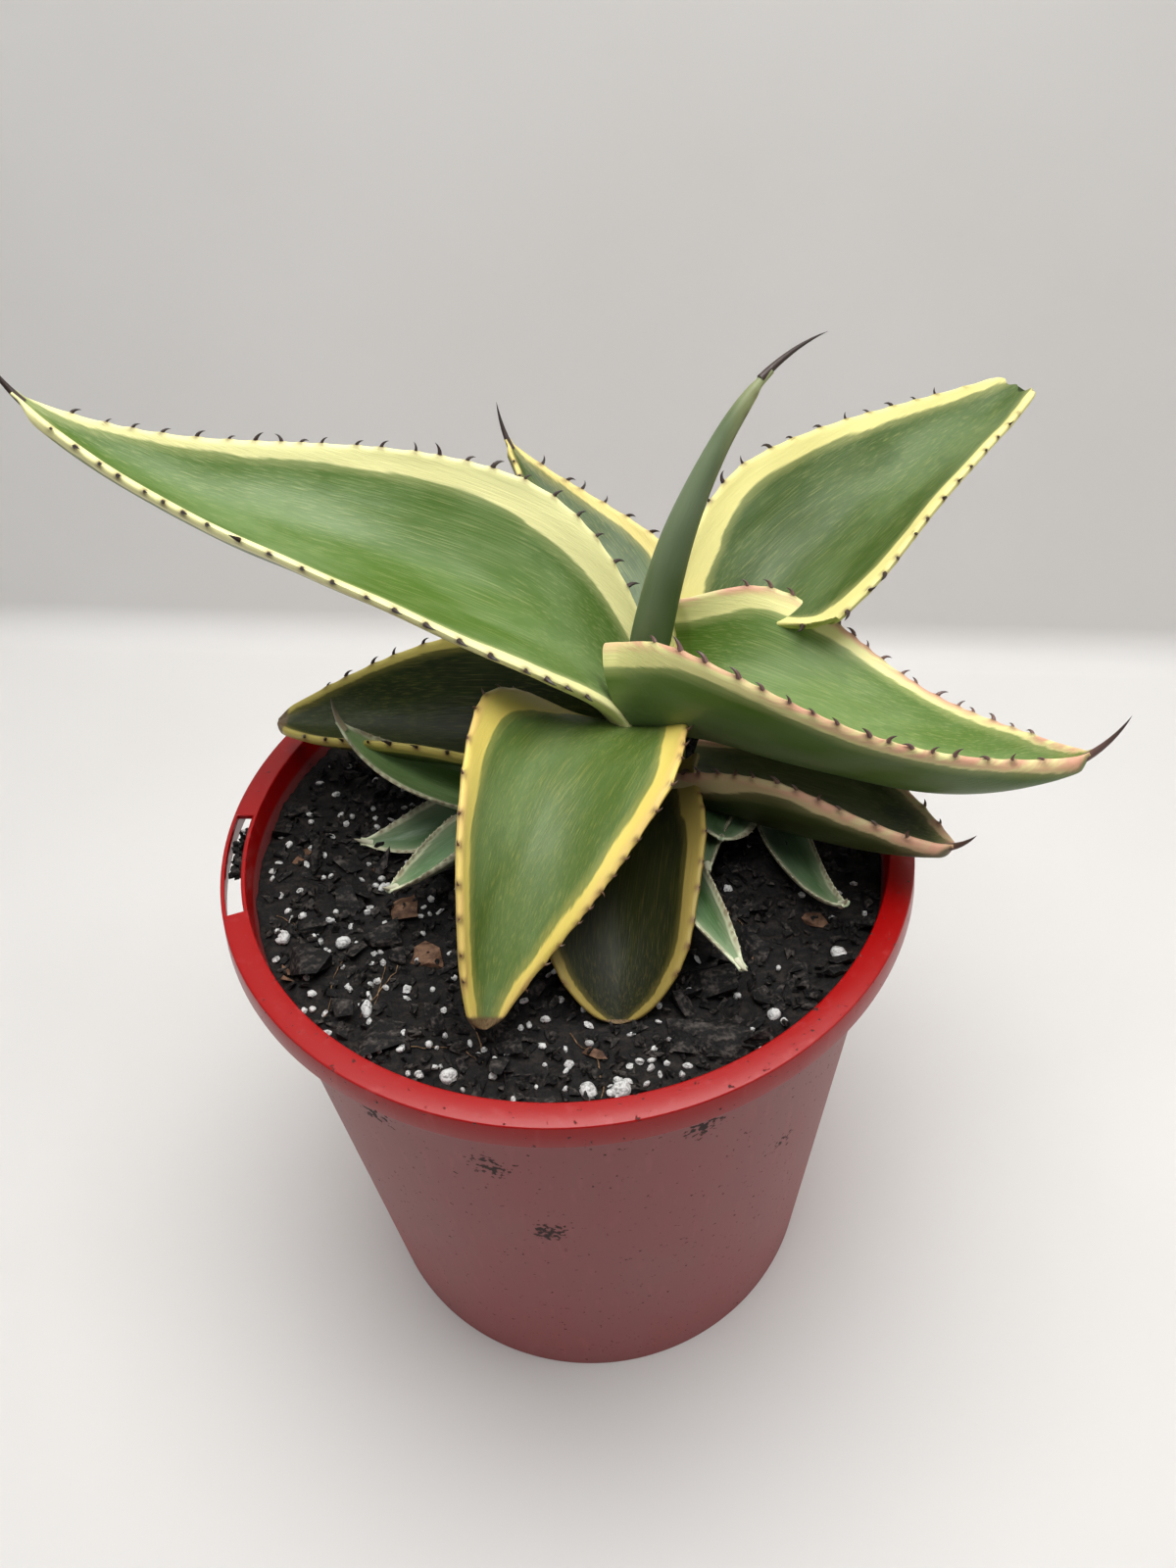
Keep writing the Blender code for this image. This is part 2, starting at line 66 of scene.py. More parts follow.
class Slot(Enum):
    """The record's material slots."""

    PLASTIC = "red_plastic"
    MIX = "potting_mix"
    STEM = "stem"
    LEAF = "agave_leaf"
    YOUNG = "young_leaf"
    BROWN = "brown_bark"
    DARK = "dark_bark"
    PERLITE = "perlite"


def linear(colour: Colour) -> tuple[float, ...]:
    """Display red, green and blue, 0 to 255, as linear colour."""
    return tuple((channel / 255) ** 2.2 for channel in colour) + (1.0,)


def smooth(low: float, high: float, value: float) -> float:
    """A smooth step from 0 at low to 1 at high."""
    share = min(max((value - low) / (high - low), 0.0), 1.0)
    return share * share * (3 - 2 * share)


class Nodes:
    """Adds nodes to one tree and joins them."""

    def __init__(self, tree: bpy.types.NodeTree) -> None:
        """Keeps the tree."""
        self.tree = tree

    def add(self, kind: str, inputs: dict[Any, Any] | None = None, **settings: Any) -> bpy.types.Node:
        """Adds a node.

        Args:
            kind: the node's type.
            inputs: a value or an output socket for each input, by name or place.
            settings: the node's own properties.

        Returns:
            The new node.
        """
        node = self.tree.nodes.new(kind)
        for name, value in settings.items():
            setattr(node, name, value)
        for name, value in (inputs or {}).items():
            if isinstance(value, bpy.types.NodeSocket):
                self.tree.links.new(value, node.inputs[name])
            else:
                node.inputs[name].default_value = value
        return node

    def math(self, operation: str, first: Any, second: Any = 0.0) -> bpy.types.NodeSocket:
        """A Math node's result."""
        return self.add("ShaderNodeMath", {0: first, 1: second}, operation=operation).outputs[0]

    def step(self, value: Any, low: float, high: float) -> bpy.types.NodeSocket:
        """0 below low, 1 above high, smooth between."""
        inputs = {"Value": value, "From Min": low, "From Max": high}
        return self.add("ShaderNodeMapRange", inputs, interpolation_type="SMOOTHSTEP").outputs[0]

    def times(self, first: Any, second: Any) -> bpy.types.NodeSocket:
        """The product of two values."""
        return self.math("MULTIPLY", first, second)

    def plus(self, first: Any, second: Any) -> bpy.types.NodeSocket:
        """The sum of two values."""
        return self.math("ADD", first, second)

    def mix(self, share: Any, first: Any, second: Any) -> bpy.types.NodeSocket:
        """Two colours mixed."""
        inputs = {0: share, 6: first, 7: second}
        return self.add("ShaderNodeMix", inputs, data_type="RGBA").outputs[2]

    def noise(self, place: Any, scale: float, detail: float = 2.0) -> bpy.types.NodeSocket:
        """Noise from 0 to 1 at a place."""
        inputs = {"Vector": place, "Scale": scale, "Detail": detail}
        return self.add("ShaderNodeTexNoise", inputs).outputs[0]

    def stretch(self, place: Any, scale: Triple) -> bpy.types.NodeSocket:
        """A place with each axis scaled."""
        return self.add("ShaderNodeMapping", {"Vector": place, "Scale": scale}).outputs[0]

    def attribute(self, name: str, output: str = "Fac") -> bpy.types.NodeSocket:
        """An attribute stored in the mesh."""
        return self.add("ShaderNodeAttribute", attribute_name=name).outputs[output]

    def place(self) -> bpy.types.NodeSocket:
        """The place in the object's own space, in metres."""
        return self.add("ShaderNodeTexCoord").outputs["Object"]

    def group(self, tree: bpy.types.NodeTree, inputs: dict[Any, Any]) -> Any:
        """The outputs of a shared effect."""
        return self.add("ShaderNodeGroup", inputs, node_tree=tree).outputs


def effect(name: str, inputs: Sequence[tuple[str, str]], outputs: Sequence[str]) -> tuple[Any, Nodes]:
    """Starts a shader node group.

    Args:
        name: the group's name.
        inputs: (name, socket type) of each input.
        outputs: the names of its value outputs.

    Returns:
        The group and the builder for its nodes.
    """
    tree = bpy.data.node_groups.new(name, "ShaderNodeTree")
    for label, kind in inputs:
        tree.interface.new_socket(label, in_out="INPUT", socket_type=kind)
    for label in outputs:
        tree.interface.new_socket(label, in_out="OUTPUT", socket_type="NodeSocketFloat")
    return tree, Nodes(tree)


def grain_group() -> bpy.types.NodeTree:
    """Makes the grain that runs along a leaf: fine lines, broad bands and cloudy patches.

    Returns:
        The node group.
    """
    tree, nodes = effect(
        "lengthwise grain", [("Place", "NodeSocketVector")], ["Lines", "Bands", "Patches"]
    )
    place = nodes.add("NodeGroupInput").outputs[0]
    lines = nodes.noise(nodes.stretch(place, (2.2, 0.035, 1.0)), 1.0, 3.0)
    bands = nodes.noise(nodes.stretch(place, (0.30, 0.022, 0.2)), 1.0, 3.0)
    patches = nodes.noise(nodes.stretch(place, (0.06, 0.022, 0.02)), 1.0, 2.0)
    nodes.add("NodeGroupOutput", {0: lines, 1: bands, 2: patches})
    return tree


def dirt_group() -> bpy.types.NodeTree:
    """Makes specks of potting mix, denser in some places than others, and a cloudy haze for the pot's dust and
    painted sheen.

    Returns:
        The node group.
    """
    tree, nodes = effect(
        "mix specks", [("Place", "NodeSocketVector"), ("Amount", "NodeSocketFloat")], ["Specks", "Haze"]
    )
    entry = nodes.add("NodeGroupInput")
    place, amount = entry.outputs[0], entry.outputs[1]
    grains = nodes.noise(place, 520.0, 3.0)
    where = nodes.noise(place, 38.0, 2.0)
    level = nodes.plus(nodes.plus(grains, nodes.times(where, 0.5)), amount)
    haze = nodes.noise(nodes.stretch(place, (1.0, 1.0, 0.35)), 42.0, 5.0)
    nodes.add("NodeGroupOutput", {0: nodes.step(level, 1.02, 1.08), 1: haze})
    return tree


@dataclass
class Effects:
    """The node groups shared by the finishes."""

    grain: bpy.types.NodeTree = field(default_factory=grain_group)
    dirt: bpy.types.NodeTree = field(default_factory=dirt_group)


EFFECTS = Effects()


def new_material(name: str, **values: float) -> tuple[bpy.types.Material, Nodes, bpy.types.Node]:
    """Starts a material.

    Args:
        name: the material's name.
        values: inputs of its surface shader, with _ for a space.

    Returns:
        The material, the builder for its nodes, and its surface shader.
    """
    made = bpy.data.materials.new(name)
    made.use_nodes = True
    surface = made.node_tree.nodes["Principled BSDF"]
    for label, value in values.items():
        surface.inputs[label.replace("_", " ")].default_value = value
    return made, Nodes(made.node_tree), surface


def finish_surface(
    nodes: Nodes, surface: bpy.types.Node, colour: Any, rough: Any, height: Any, depth: float
) -> None:
    """Joins colour, roughness and relief to a surface.

    Args:
        nodes: the material's nodes.
        surface: its surface shader.
        colour: the base colour.
        rough: the roughness.
        height: the relief, 0 to 1.
        depth: how deep the relief is, in millimetres.
    """
    bump = nodes.add("ShaderNodeBump", {"Height": height, "Distance": depth * MM, "Strength": 1.0})
    for label, value in (("Base Color", colour), ("Roughness", rough), ("Normal", bump.outputs[0])):
        nodes.tree.links.new(value, surface.inputs[label])


@dataclass(frozen=True)
class LeafFinish:
    """Colours of one leaf's skin."""

    green: Colour = (112, 142, 80)
    deep: Colour = (78, 108, 52)
    band: Colour = (238, 231, 160)
    under: Colour = (88, 106, 66)
    bloom: float = 0.08  # share of grey wax
    blush: float = 0.0  # pink near the margin
    rough: float = 0.42
    imprint: float = 0.10  # how plain the marks pressed in by the next leaf are
    specks: float = -0.16  # how much mix clings to it, more above 0
    wax: Colour = (176, 190, 174)
    pink: Colour = (206, 130, 122)
    cork: Colour = (92, 62, 44)
    dry: Colour = (46, 36, 26)
    straw: Colour = (146, 122, 88)
    soil: Colour = (58, 46, 34)
    relief: float = 0.16

    def flesh(self, nodes: Nodes, place: Any, grain: Sequence[Any]) -> Any:
        """Mixes the green of the blade: streaks, wet marks, imprints and a duller underside.

        Args:
            nodes: the material's nodes.
            place: the place across, along and in from the margin, in millimetres.
            grain: the grain's lines, bands and patches.

        Returns:
            The colour.
        """
        lines, bands, patches = grain
        deep = linear(self.deep)
        wet = nodes.noise(nodes.stretch(place, (0.10, 0.055, 0.03)), 1.0, 3.0)
        imprint = nodes.noise(nodes.stretch(place, (0.16, 0.09, 0.1)), 1.0, 4.0)
        rings = nodes.math("FRACT", nodes.times(imprint, 7.0))
        ridge = nodes.times(nodes.step(rings, 0.0, 0.16), nodes.step(rings, 0.34, 0.18))
        shades = nodes.plus(nodes.times(patches, 0.75), nodes.times(bands, 0.25))
        colour = nodes.mix(nodes.step(shades, 0.34, 0.66), linear(self.green), deep)
        colour = nodes.mix(nodes.times(nodes.step(lines, 0.45, 0.8), 0.12), colour, linear(self.band))
        colour = nodes.mix(nodes.times(nodes.step(wet, 0.60, 0.64), 0.5), colour, deep)
        colour = nodes.mix(nodes.times(ridge, self.imprint), colour, deep)
        under = nodes.mix(nodes.step(patches, 0.3, 0.7), linear(self.under), deep)
        return nodes.mix(nodes.attribute("under"), colour, under)

    def edged(self, nodes: Nodes, colour: Any, place: Any, grain: Sequence[Any]) -> Any:
        """Adds the pale band along each margin, the wax and the blush.

        Args:
            nodes: the material's nodes.
            colour: the colour so far.
            place: the place across, along and in from the margin, in millimetres.
            grain: the grain's lines, bands and patches.

        Returns:
            The colour.
        """
        lines, bands, patches = grain
        band = linear(self.band)
        shaded_band = linear(tuple(int(channel * 0.94) for channel in self.band))
        pale = tuple(0.45 * a + 0.55 * b for a, b in zip(linear(self.green), band))
        wobble = nodes.times(nodes.math("SUBTRACT", bands, 0.5), 2.6)
        frayed = nodes.times(nodes.math("SUBTRACT", lines, 0.5), 0.7)
        depth = nodes.plus(nodes.plus(nodes.attribute("band"), wobble), frayed)
        colour = nodes.mix(nodes.times(nodes.step(depth, -3.2, 0.0), 0.34), colour, pale)
        yellow = nodes.mix(nodes.step(patches, 0.3, 0.7), band, shaded_band)
        colour = nodes.mix(nodes.step(depth, -0.4, 0.5), colour, yellow)
        haze = nodes.times(nodes.step(patches, 0.7, 0.3), self.bloom)
        colour = nodes.mix(haze, colour, linear(self.wax))
        near = nodes.add("ShaderNodeSeparateXYZ", {0: place}).outputs[2]
        rosy = nodes.times(nodes.step(near, 3.2, 0.4), self.blush)
        rosy = nodes.times(rosy, nodes.step(bands, 0.35, 0.6))
        return nodes.mix(rosy, colour, linear(self.pink))

    def worn(self, nodes: Nodes, colour: Any, lines: Any) -> Any:
        """Adds the cork under the teeth, the dried tip and the specks of mix.

        Args:
            nodes: the material's nodes.
            colour: the colour so far.
            lines: the grain's fine lines.

        Returns:
            The colour.
        """
        cork = nodes.times(nodes.attribute("cork"), nodes.step(lines, 0.2, 0.5))
        colour = nodes.mix(cork, colour, linear(self.cork))
        dry = nodes.step(nodes.plus(nodes.attribute("dry"), nodes.times(lines, 0.3)), 0.45, 0.75)
        colour = nodes.mix(dry, colour, nodes.mix(lines, linear(self.dry), linear(self.straw)))
        specks = nodes.group(EFFECTS.dirt, {0: nodes.place(), 1: self.specks})[0]
        return nodes.mix(nodes.times(specks, 0.6), colour, linear(self.soil))

    def material(self, name: str) -> bpy.types.Material:
        """Makes the leaf's material, which reads the measures stored in its mesh.

        Args:
            name: the material's name.

        Returns:
            The material.
        """
        made, nodes, surface = new_material(name, Specular_IOR_Level=0.28)
        place = nodes.attribute("blade", "Vector")
        grain = nodes.group(EFFECTS.grain, {0: place})[:3]
        lines, bands, patches = grain
        colour = self.flesh(nodes, place, grain)
        colour = self.edged(nodes, colour, place, grain)
        colour = self.worn(nodes, colour, lines)
        rough = nodes.plus(nodes.times(patches, 0.25), self.rough - 0.1)
        height = nodes.plus(nodes.times(lines, 0.6), bands)
        finish_surface(nodes, surface, colour, rough, height, self.relief)
        return made


@dataclass(frozen=True)
class SpineFinish:
    """Horny spines: dark at the point, browner or paler at the foot."""

    point: Colour = (20, 14, 14)
    foot: Colour = (48, 30, 24)
    fleck: Colour = (104, 84, 74)
    relief: float = 0.1

    def material(self, name: str) -> bpy.types.Material:
        """Makes the spines' material, which reads how far along a spine each place is.

        Args:
            name: the material's name.

        Returns:
            The material.
        """
        made, nodes, surface = new_material(name, Specular_IOR_Level=0.5)
        mottle = nodes.noise(nodes.place(), 900.0, 3.0)
        colour = nodes.mix(nodes.attribute("reach"), linear(self.foot), linear(self.point))
        colour = nodes.mix(nodes.times(mottle, 0.16), colour, linear(self.fleck))
        rough = nodes.plus(nodes.times(mottle, 0.3), 0.3)
        finish_surface(nodes, surface, colour, rough, mottle, self.relief)
        return made


@dataclass(frozen=True)
class PlasticFinish:
    """Red moulded plastic: glossy on the rim, hazed down the wall with dust and a painted sheen."""

    red: Colour = (148, 4, 8)
    # haze: partly the dust film on the wall and partly a painted sheen of the pale surroundings
    haze: Colour = (128, 74, 74)
    dust: Colour = (190, 96, 96)
    soil: Colour = (48, 30, 26)
    smudges: tuple[Triple, ...] = (
        (-62, -67, 178), (-56, -71, 166), (-27, -87, 159), (28, -87, 171), (-14, -88, 120), (52, -68, 128),
    )
    relief: float = 0.12

    def soiled(self, nodes: Nodes, place: Any) -> Any:
        """Finds where clots of mix cling, mostly round the smudges.

        Args:
            nodes: the material's nodes.
            place: the place in the pot's own space.

        Returns:
            1 on a clot and 0 elsewhere.
        """
        near: Any = 0.0
        for spot in self.smudges:
            ends = {0: place, 1: tuple(axis * MM for axis in spot)}
            away = nodes.add("ShaderNodeVectorMath", ends, operation="DISTANCE").outputs["Value"]
            near = nodes.math("MAXIMUM", near, nodes.step(away, 0.010, 0.001))
        clots = nodes.noise(place, 620.0, 4.0)
        return nodes.step(nodes.plus(clots, nodes.times(near, 0.21)), 0.66, 0.74)

    def material(self, name: str) -> bpy.types.Material:
        """Makes the pot's material.

        Args:
            name: the material's name.

        Returns:
            The material.
        """
        made, nodes, surface = new_material(name, Specular_IOR_Level=0.34)
        place = nodes.place()
        specks, cloud = nodes.group(EFFECTS.dirt, {0: place, 1: 0.0})[:2]
        height = nodes.add("ShaderNodeSeparateXYZ", {0: place}).outputs[2]
        wall = nodes.step(height, 0.1895, 0.1875)
        # dust and painted sheen over the wall: cloudy, and thinner towards the foot, which leaves the foot darker
        dust_and_sheen = nodes.plus(nodes.times(cloud, 0.5), nodes.times(nodes.step(height, -0.02, 0.09), 0.42))
        colour = nodes.mix(nodes.times(wall, dust_and_sheen), linear(self.red), linear(self.haze))
        scuffs = nodes.noise(nodes.stretch(place, (1.0, 1.0, 0.2)), 300.0, 5.0)
        rim_dust = nodes.times(nodes.step(scuffs, 0.55, 0.75), 0.14)
        colour = nodes.mix(rim_dust, colour, linear(self.dust))
        marks = nodes.math("MAXIMUM", self.soiled(nodes, place), nodes.times(specks, 0.8))
        colour = nodes.mix(marks, colour, linear(self.soil))
        rough = nodes.plus(nodes.times(wall, 0.16), 0.30)
        rough = nodes.plus(rough, nodes.times(marks, 0.35))
        height = nodes.plus(nodes.times(scuffs, 0.25), nodes.times(marks, 0.8))
        finish_surface(nodes, surface, colour, rough, height, self.relief)
        return made


@dataclass(frozen=True)
class CrumbFinish:
    """A rough, matt, broken surface, such as bark or potting mix."""

    dark: Colour
    light: Colour
    grain: float = 420.0
    share: float = 0.5
    relief: float = 0.5

    def material(self, name: str) -> bpy.types.Material:
        """Makes the material, mottled in the object's own space.

        Args:
            name: the material's name.

        Returns:
            The material.
        """
        made, nodes, surface = new_material(name, Specular_IOR_Level=0.3)
        place = nodes.place()
        fibres = nodes.noise(nodes.stretch(place, (0.4, 1.0, 1.6)), self.grain, 6.0)
        spots = nodes.noise(place, self.grain * 2.3, 3.0)
        level = nodes.plus(nodes.times(fibres, 0.6), nodes.times(spots, 0.4))
        lit = nodes.step(level, self.share - 0.12, self.share + 0.16)
        colour = nodes.mix(lit, linear(self.dark), linear(self.light))
        rough = nodes.plus(nodes.times(spots, 0.3), 0.62)
        finish_surface(nodes, surface, colour, rough, level, self.relief)
        return made


MIX_FINISH = CrumbFinish((12, 10, 10), (46, 40, 36), 520.0, 0.56, 0.9)
CHAR_FINISH = CrumbFinish((15, 14, 14), (84, 78, 74), 420.0, 0.57, 1.2)
BROWN_FINISH = CrumbFinish((66, 46, 34), (128, 98, 78), 260.0, 0.5, 0.6)
PERLITE_FINISH = CrumbFinish((84, 82, 80), (206, 206, 204), 800.0, 0.42, 0.6)
STEM_FINISH = CrumbFinish((86, 92, 52), (170, 168, 112), 240.0, 0.5, 0.4)
ROOT_FINISH = CrumbFinish((70, 52, 36), (150, 120, 88), 300.0)


def place_piece(
    name: str, bm: bmesh.types.BMesh, shade: bpy.types.Material, slot: Slot, *nodes: str
) -> bpy.types.Object:
    """Makes a piece of the object from a mesh in millimetres.

    Args:
        name: the piece's name.
        bm: its mesh, which is freed.
        shade: its material.
        slot: the record's material slot; not used.
        nodes: the CAD nodes that it stands for.

    Returns:
        The piece, riding on the root body.
    """
    bmesh.ops.scale(bm, vec=(MM, MM, MM), verts=bm.verts)
    mesh = bpy.data.meshes.new(name)
    bm.to_mesh(mesh)
    bm.free()
    mesh.materials.append(shade)
    mesh.shade_smooth()
    mesh.set_sharp_from_angle(angle=math.radians(SHARP_EDGE))
    piece = bpy.data.objects.new(name, mesh)
    bpy.context.scene.collection.objects.link(piece)
    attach(piece, "root")
    if nodes:
        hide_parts(*nodes)
    log.info("%s: %d faces", name, len(mesh.polygons))
    return piece


@dataclass
class Pot:
    """The flanged nursery pot."""

    height: float = 196.0
    flange: float = 100.0
    mouth: float = 93.0
    foot: float = 82.0
    wall: float = 1.2
    lip: float = 1.4
    skirt_drop: float = 7.5
    skirt_flare: float = 1.0
    skirt_wall: float = 1.1
    floor: float = 1.8
    pad: float = 36.0
    rise: float = 3.2
    channel: float = 72.0
    slope: float = 3.0
    hole: float = 5.0
    holes: int = 6
    slot_span: tuple[float, float] = (172.0, 195.0)
    slot_radii: tuple[float, float] = (94.2, 98.8)
    cut_below: float = 12.0  # how far the slot's cutter goes under the rim, and over it
    cut_above: float = 4.0
    corner: float = 0.42
    steps: int = 216

    def outer(self, height: float) -> float:
        """The wall's outer radius at a height."""
        return self.foot + (self.mouth + self.wall - self.foot) * height / (self.height - self.lip)

    def section(self) -> list[tuple[float, float]]:
        """Draws the wall's section, up its outside and down its inside.

        Returns:
            Its points, as (radius, height).
        """
        under = self.height - self.lip
        flare = self.flange + self.skirt_flare
        lifted = self.rise + self.floor
        inside = self.foot - self.wall
        return [
            (0, 0), (self.pad, 0), (self.pad + self.slope, self.rise), (self.channel, self.rise),
            (self.channel + self.slope, 0), (self.foot, 0), (self.outer(under), under),
            (self.flange - self.skirt_wall, under), (flare - self.skirt_wall, self.height - self.skirt_drop),
            (flare, self.height - self.skirt_drop), (self.flange, self.height), (self.mouth, self.height),
            (inside, self.floor), (self.channel + self.slope + self.floor, self.floor),
            (self.channel + self.floor, lifted), (self.pad + self.slope - self.floor, lifted),
            (self.pad - self.floor, self.floor), (0, self.floor),
        ]

    def shell(self) -> bmesh.types.BMesh:
        """Spins the pot from its section and rounds its edges.

        Returns:
            Its mesh, in millimetres.
        """
        bm = bmesh.new()
        verts = [bm.verts.new((radius, 0, height)) for radius, height in self.section()]
        edges = [bm.edges.new(pair) for pair in zip(verts, verts[1:])]
        bmesh.ops.spin(
            bm, geom=verts + edges, cent=(0, 0, 0), axis=(0, 0, 1), angle=math.tau, steps=self.steps,
            use_merge=True,
        )
        bmesh.ops.remove_doubles(bm, verts=bm.verts, dist=1e-4)
        bmesh.ops.recalc_face_normals(bm, faces=bm.faces)
        corners = [e for e in bm.edges if len(e.link_faces) == 2 and e.calc_face_angle(0) > 0.5]
        bmesh.ops.bevel(
            bm, geom=corners, offset=self.corner, affect="EDGES", segments=3, profile=0.5, material=-1,
            clamp_overlap=True,
        )
        return bm

    def slot_cutter(self) -> bmesh.types.BMesh:
        """Sweeps a block round the flange, for the label slot.

        Returns:
            Its mesh, in millimetres.
        """
        bm = bmesh.new()
        low, high = self.height - self.cut_below, self.height + self.cut_above
        inner, outer = self.slot_radii
        corners = ((inner, low), (outer, low), (outer, high), (inner, high))
        verts = [bm.verts.new((radius, 0, height)) for radius, height in corners]
        face = bm.faces.new(verts)
        start, end = (math.radians(angle) for angle in self.slot_span)
        bmesh.ops.rotate(bm, verts=verts, cent=(0, 0, 0), matrix=Matrix.Rotation(start, 3, "Z"))
        bmesh.ops.spin(
            bm, geom=[face, *verts, *face.edges], cent=(0, 0, 0), axis=(0, 0, 1), angle=end - start, steps=16
        )
        bmesh.ops.recalc_face_normals(bm, faces=bm.faces)
        return bm

    def hole_cutter(self, index: int) -> bmesh.types.BMesh:
        """Makes a rod through the drainage channel, for one drain hole.

        Args:
            index: which hole, from 0.

        Returns:
            Its mesh, in millimetres.
        """
        bm = bmesh.new()
        angle = math.tau * (index + 0.5) / self.holes
        middle = (self.pad + self.slope + self.channel) / 2
        spot = Matrix.Translation((middle * math.cos(angle), middle * math.sin(angle), self.rise))
        bmesh.ops.create_cone(
            bm, cap_ends=True, segments=40, radius1=self.hole, radius2=self.hole, depth=10, matrix=spot
        )
        return bm

    def cutters(self) -> list[bpy.types.Object]:
        """Makes the cutters for the label slot and the drain holes.

        Returns:
            The cutters, as objects in metres.
        """
        cutters = []
        for bm in [self.slot_cutter(), *map(self.hole_cutter, range(self.holes))]:
            bmesh.ops.scale(bm, vec=(MM, MM, MM), verts=bm.verts)
            mesh = bpy.data.meshes.new("cutter")
            bm.to_mesh(mesh)
            bm.free()
            cutter = bpy.data.objects.new("cutter", mesh)
            bpy.context.scene.collection.objects.link(cutter)
            cutters.append(cutter)
        return cutters

    def build(self) -> None:
        """Builds the pot, cuts its openings and dresses it."""
        shade = PlasticFinish().material("red plastic")
        pot = place_piece("nursery_pot", self.shell(), shade, Slot.PLASTIC, "pot")
        cutters = self.cutters()
        for cutter in cutters:
            opening = pot.modifiers.new("opening", "BOOLEAN")
            opening.operation = "DIFFERENCE"
            opening.object = cutter
        bpy.context.view_layer.update()
        graph = bpy.context.evaluated_depsgraph_get()
        cut = bpy.data.meshes.new_from_object(pot.evaluated_get(graph))
        pot.modifiers.clear()
        pot.data = cut
        for cutter in cutters:
            bpy.data.objects.remove(cutter)


HAIR_START = 84  # farthest from the pot's axis that a root hair starts
HAIR_END = 88  # farthest that it reaches
HAIR_STEP = 1.9
HAIR_LIFT = 0.5


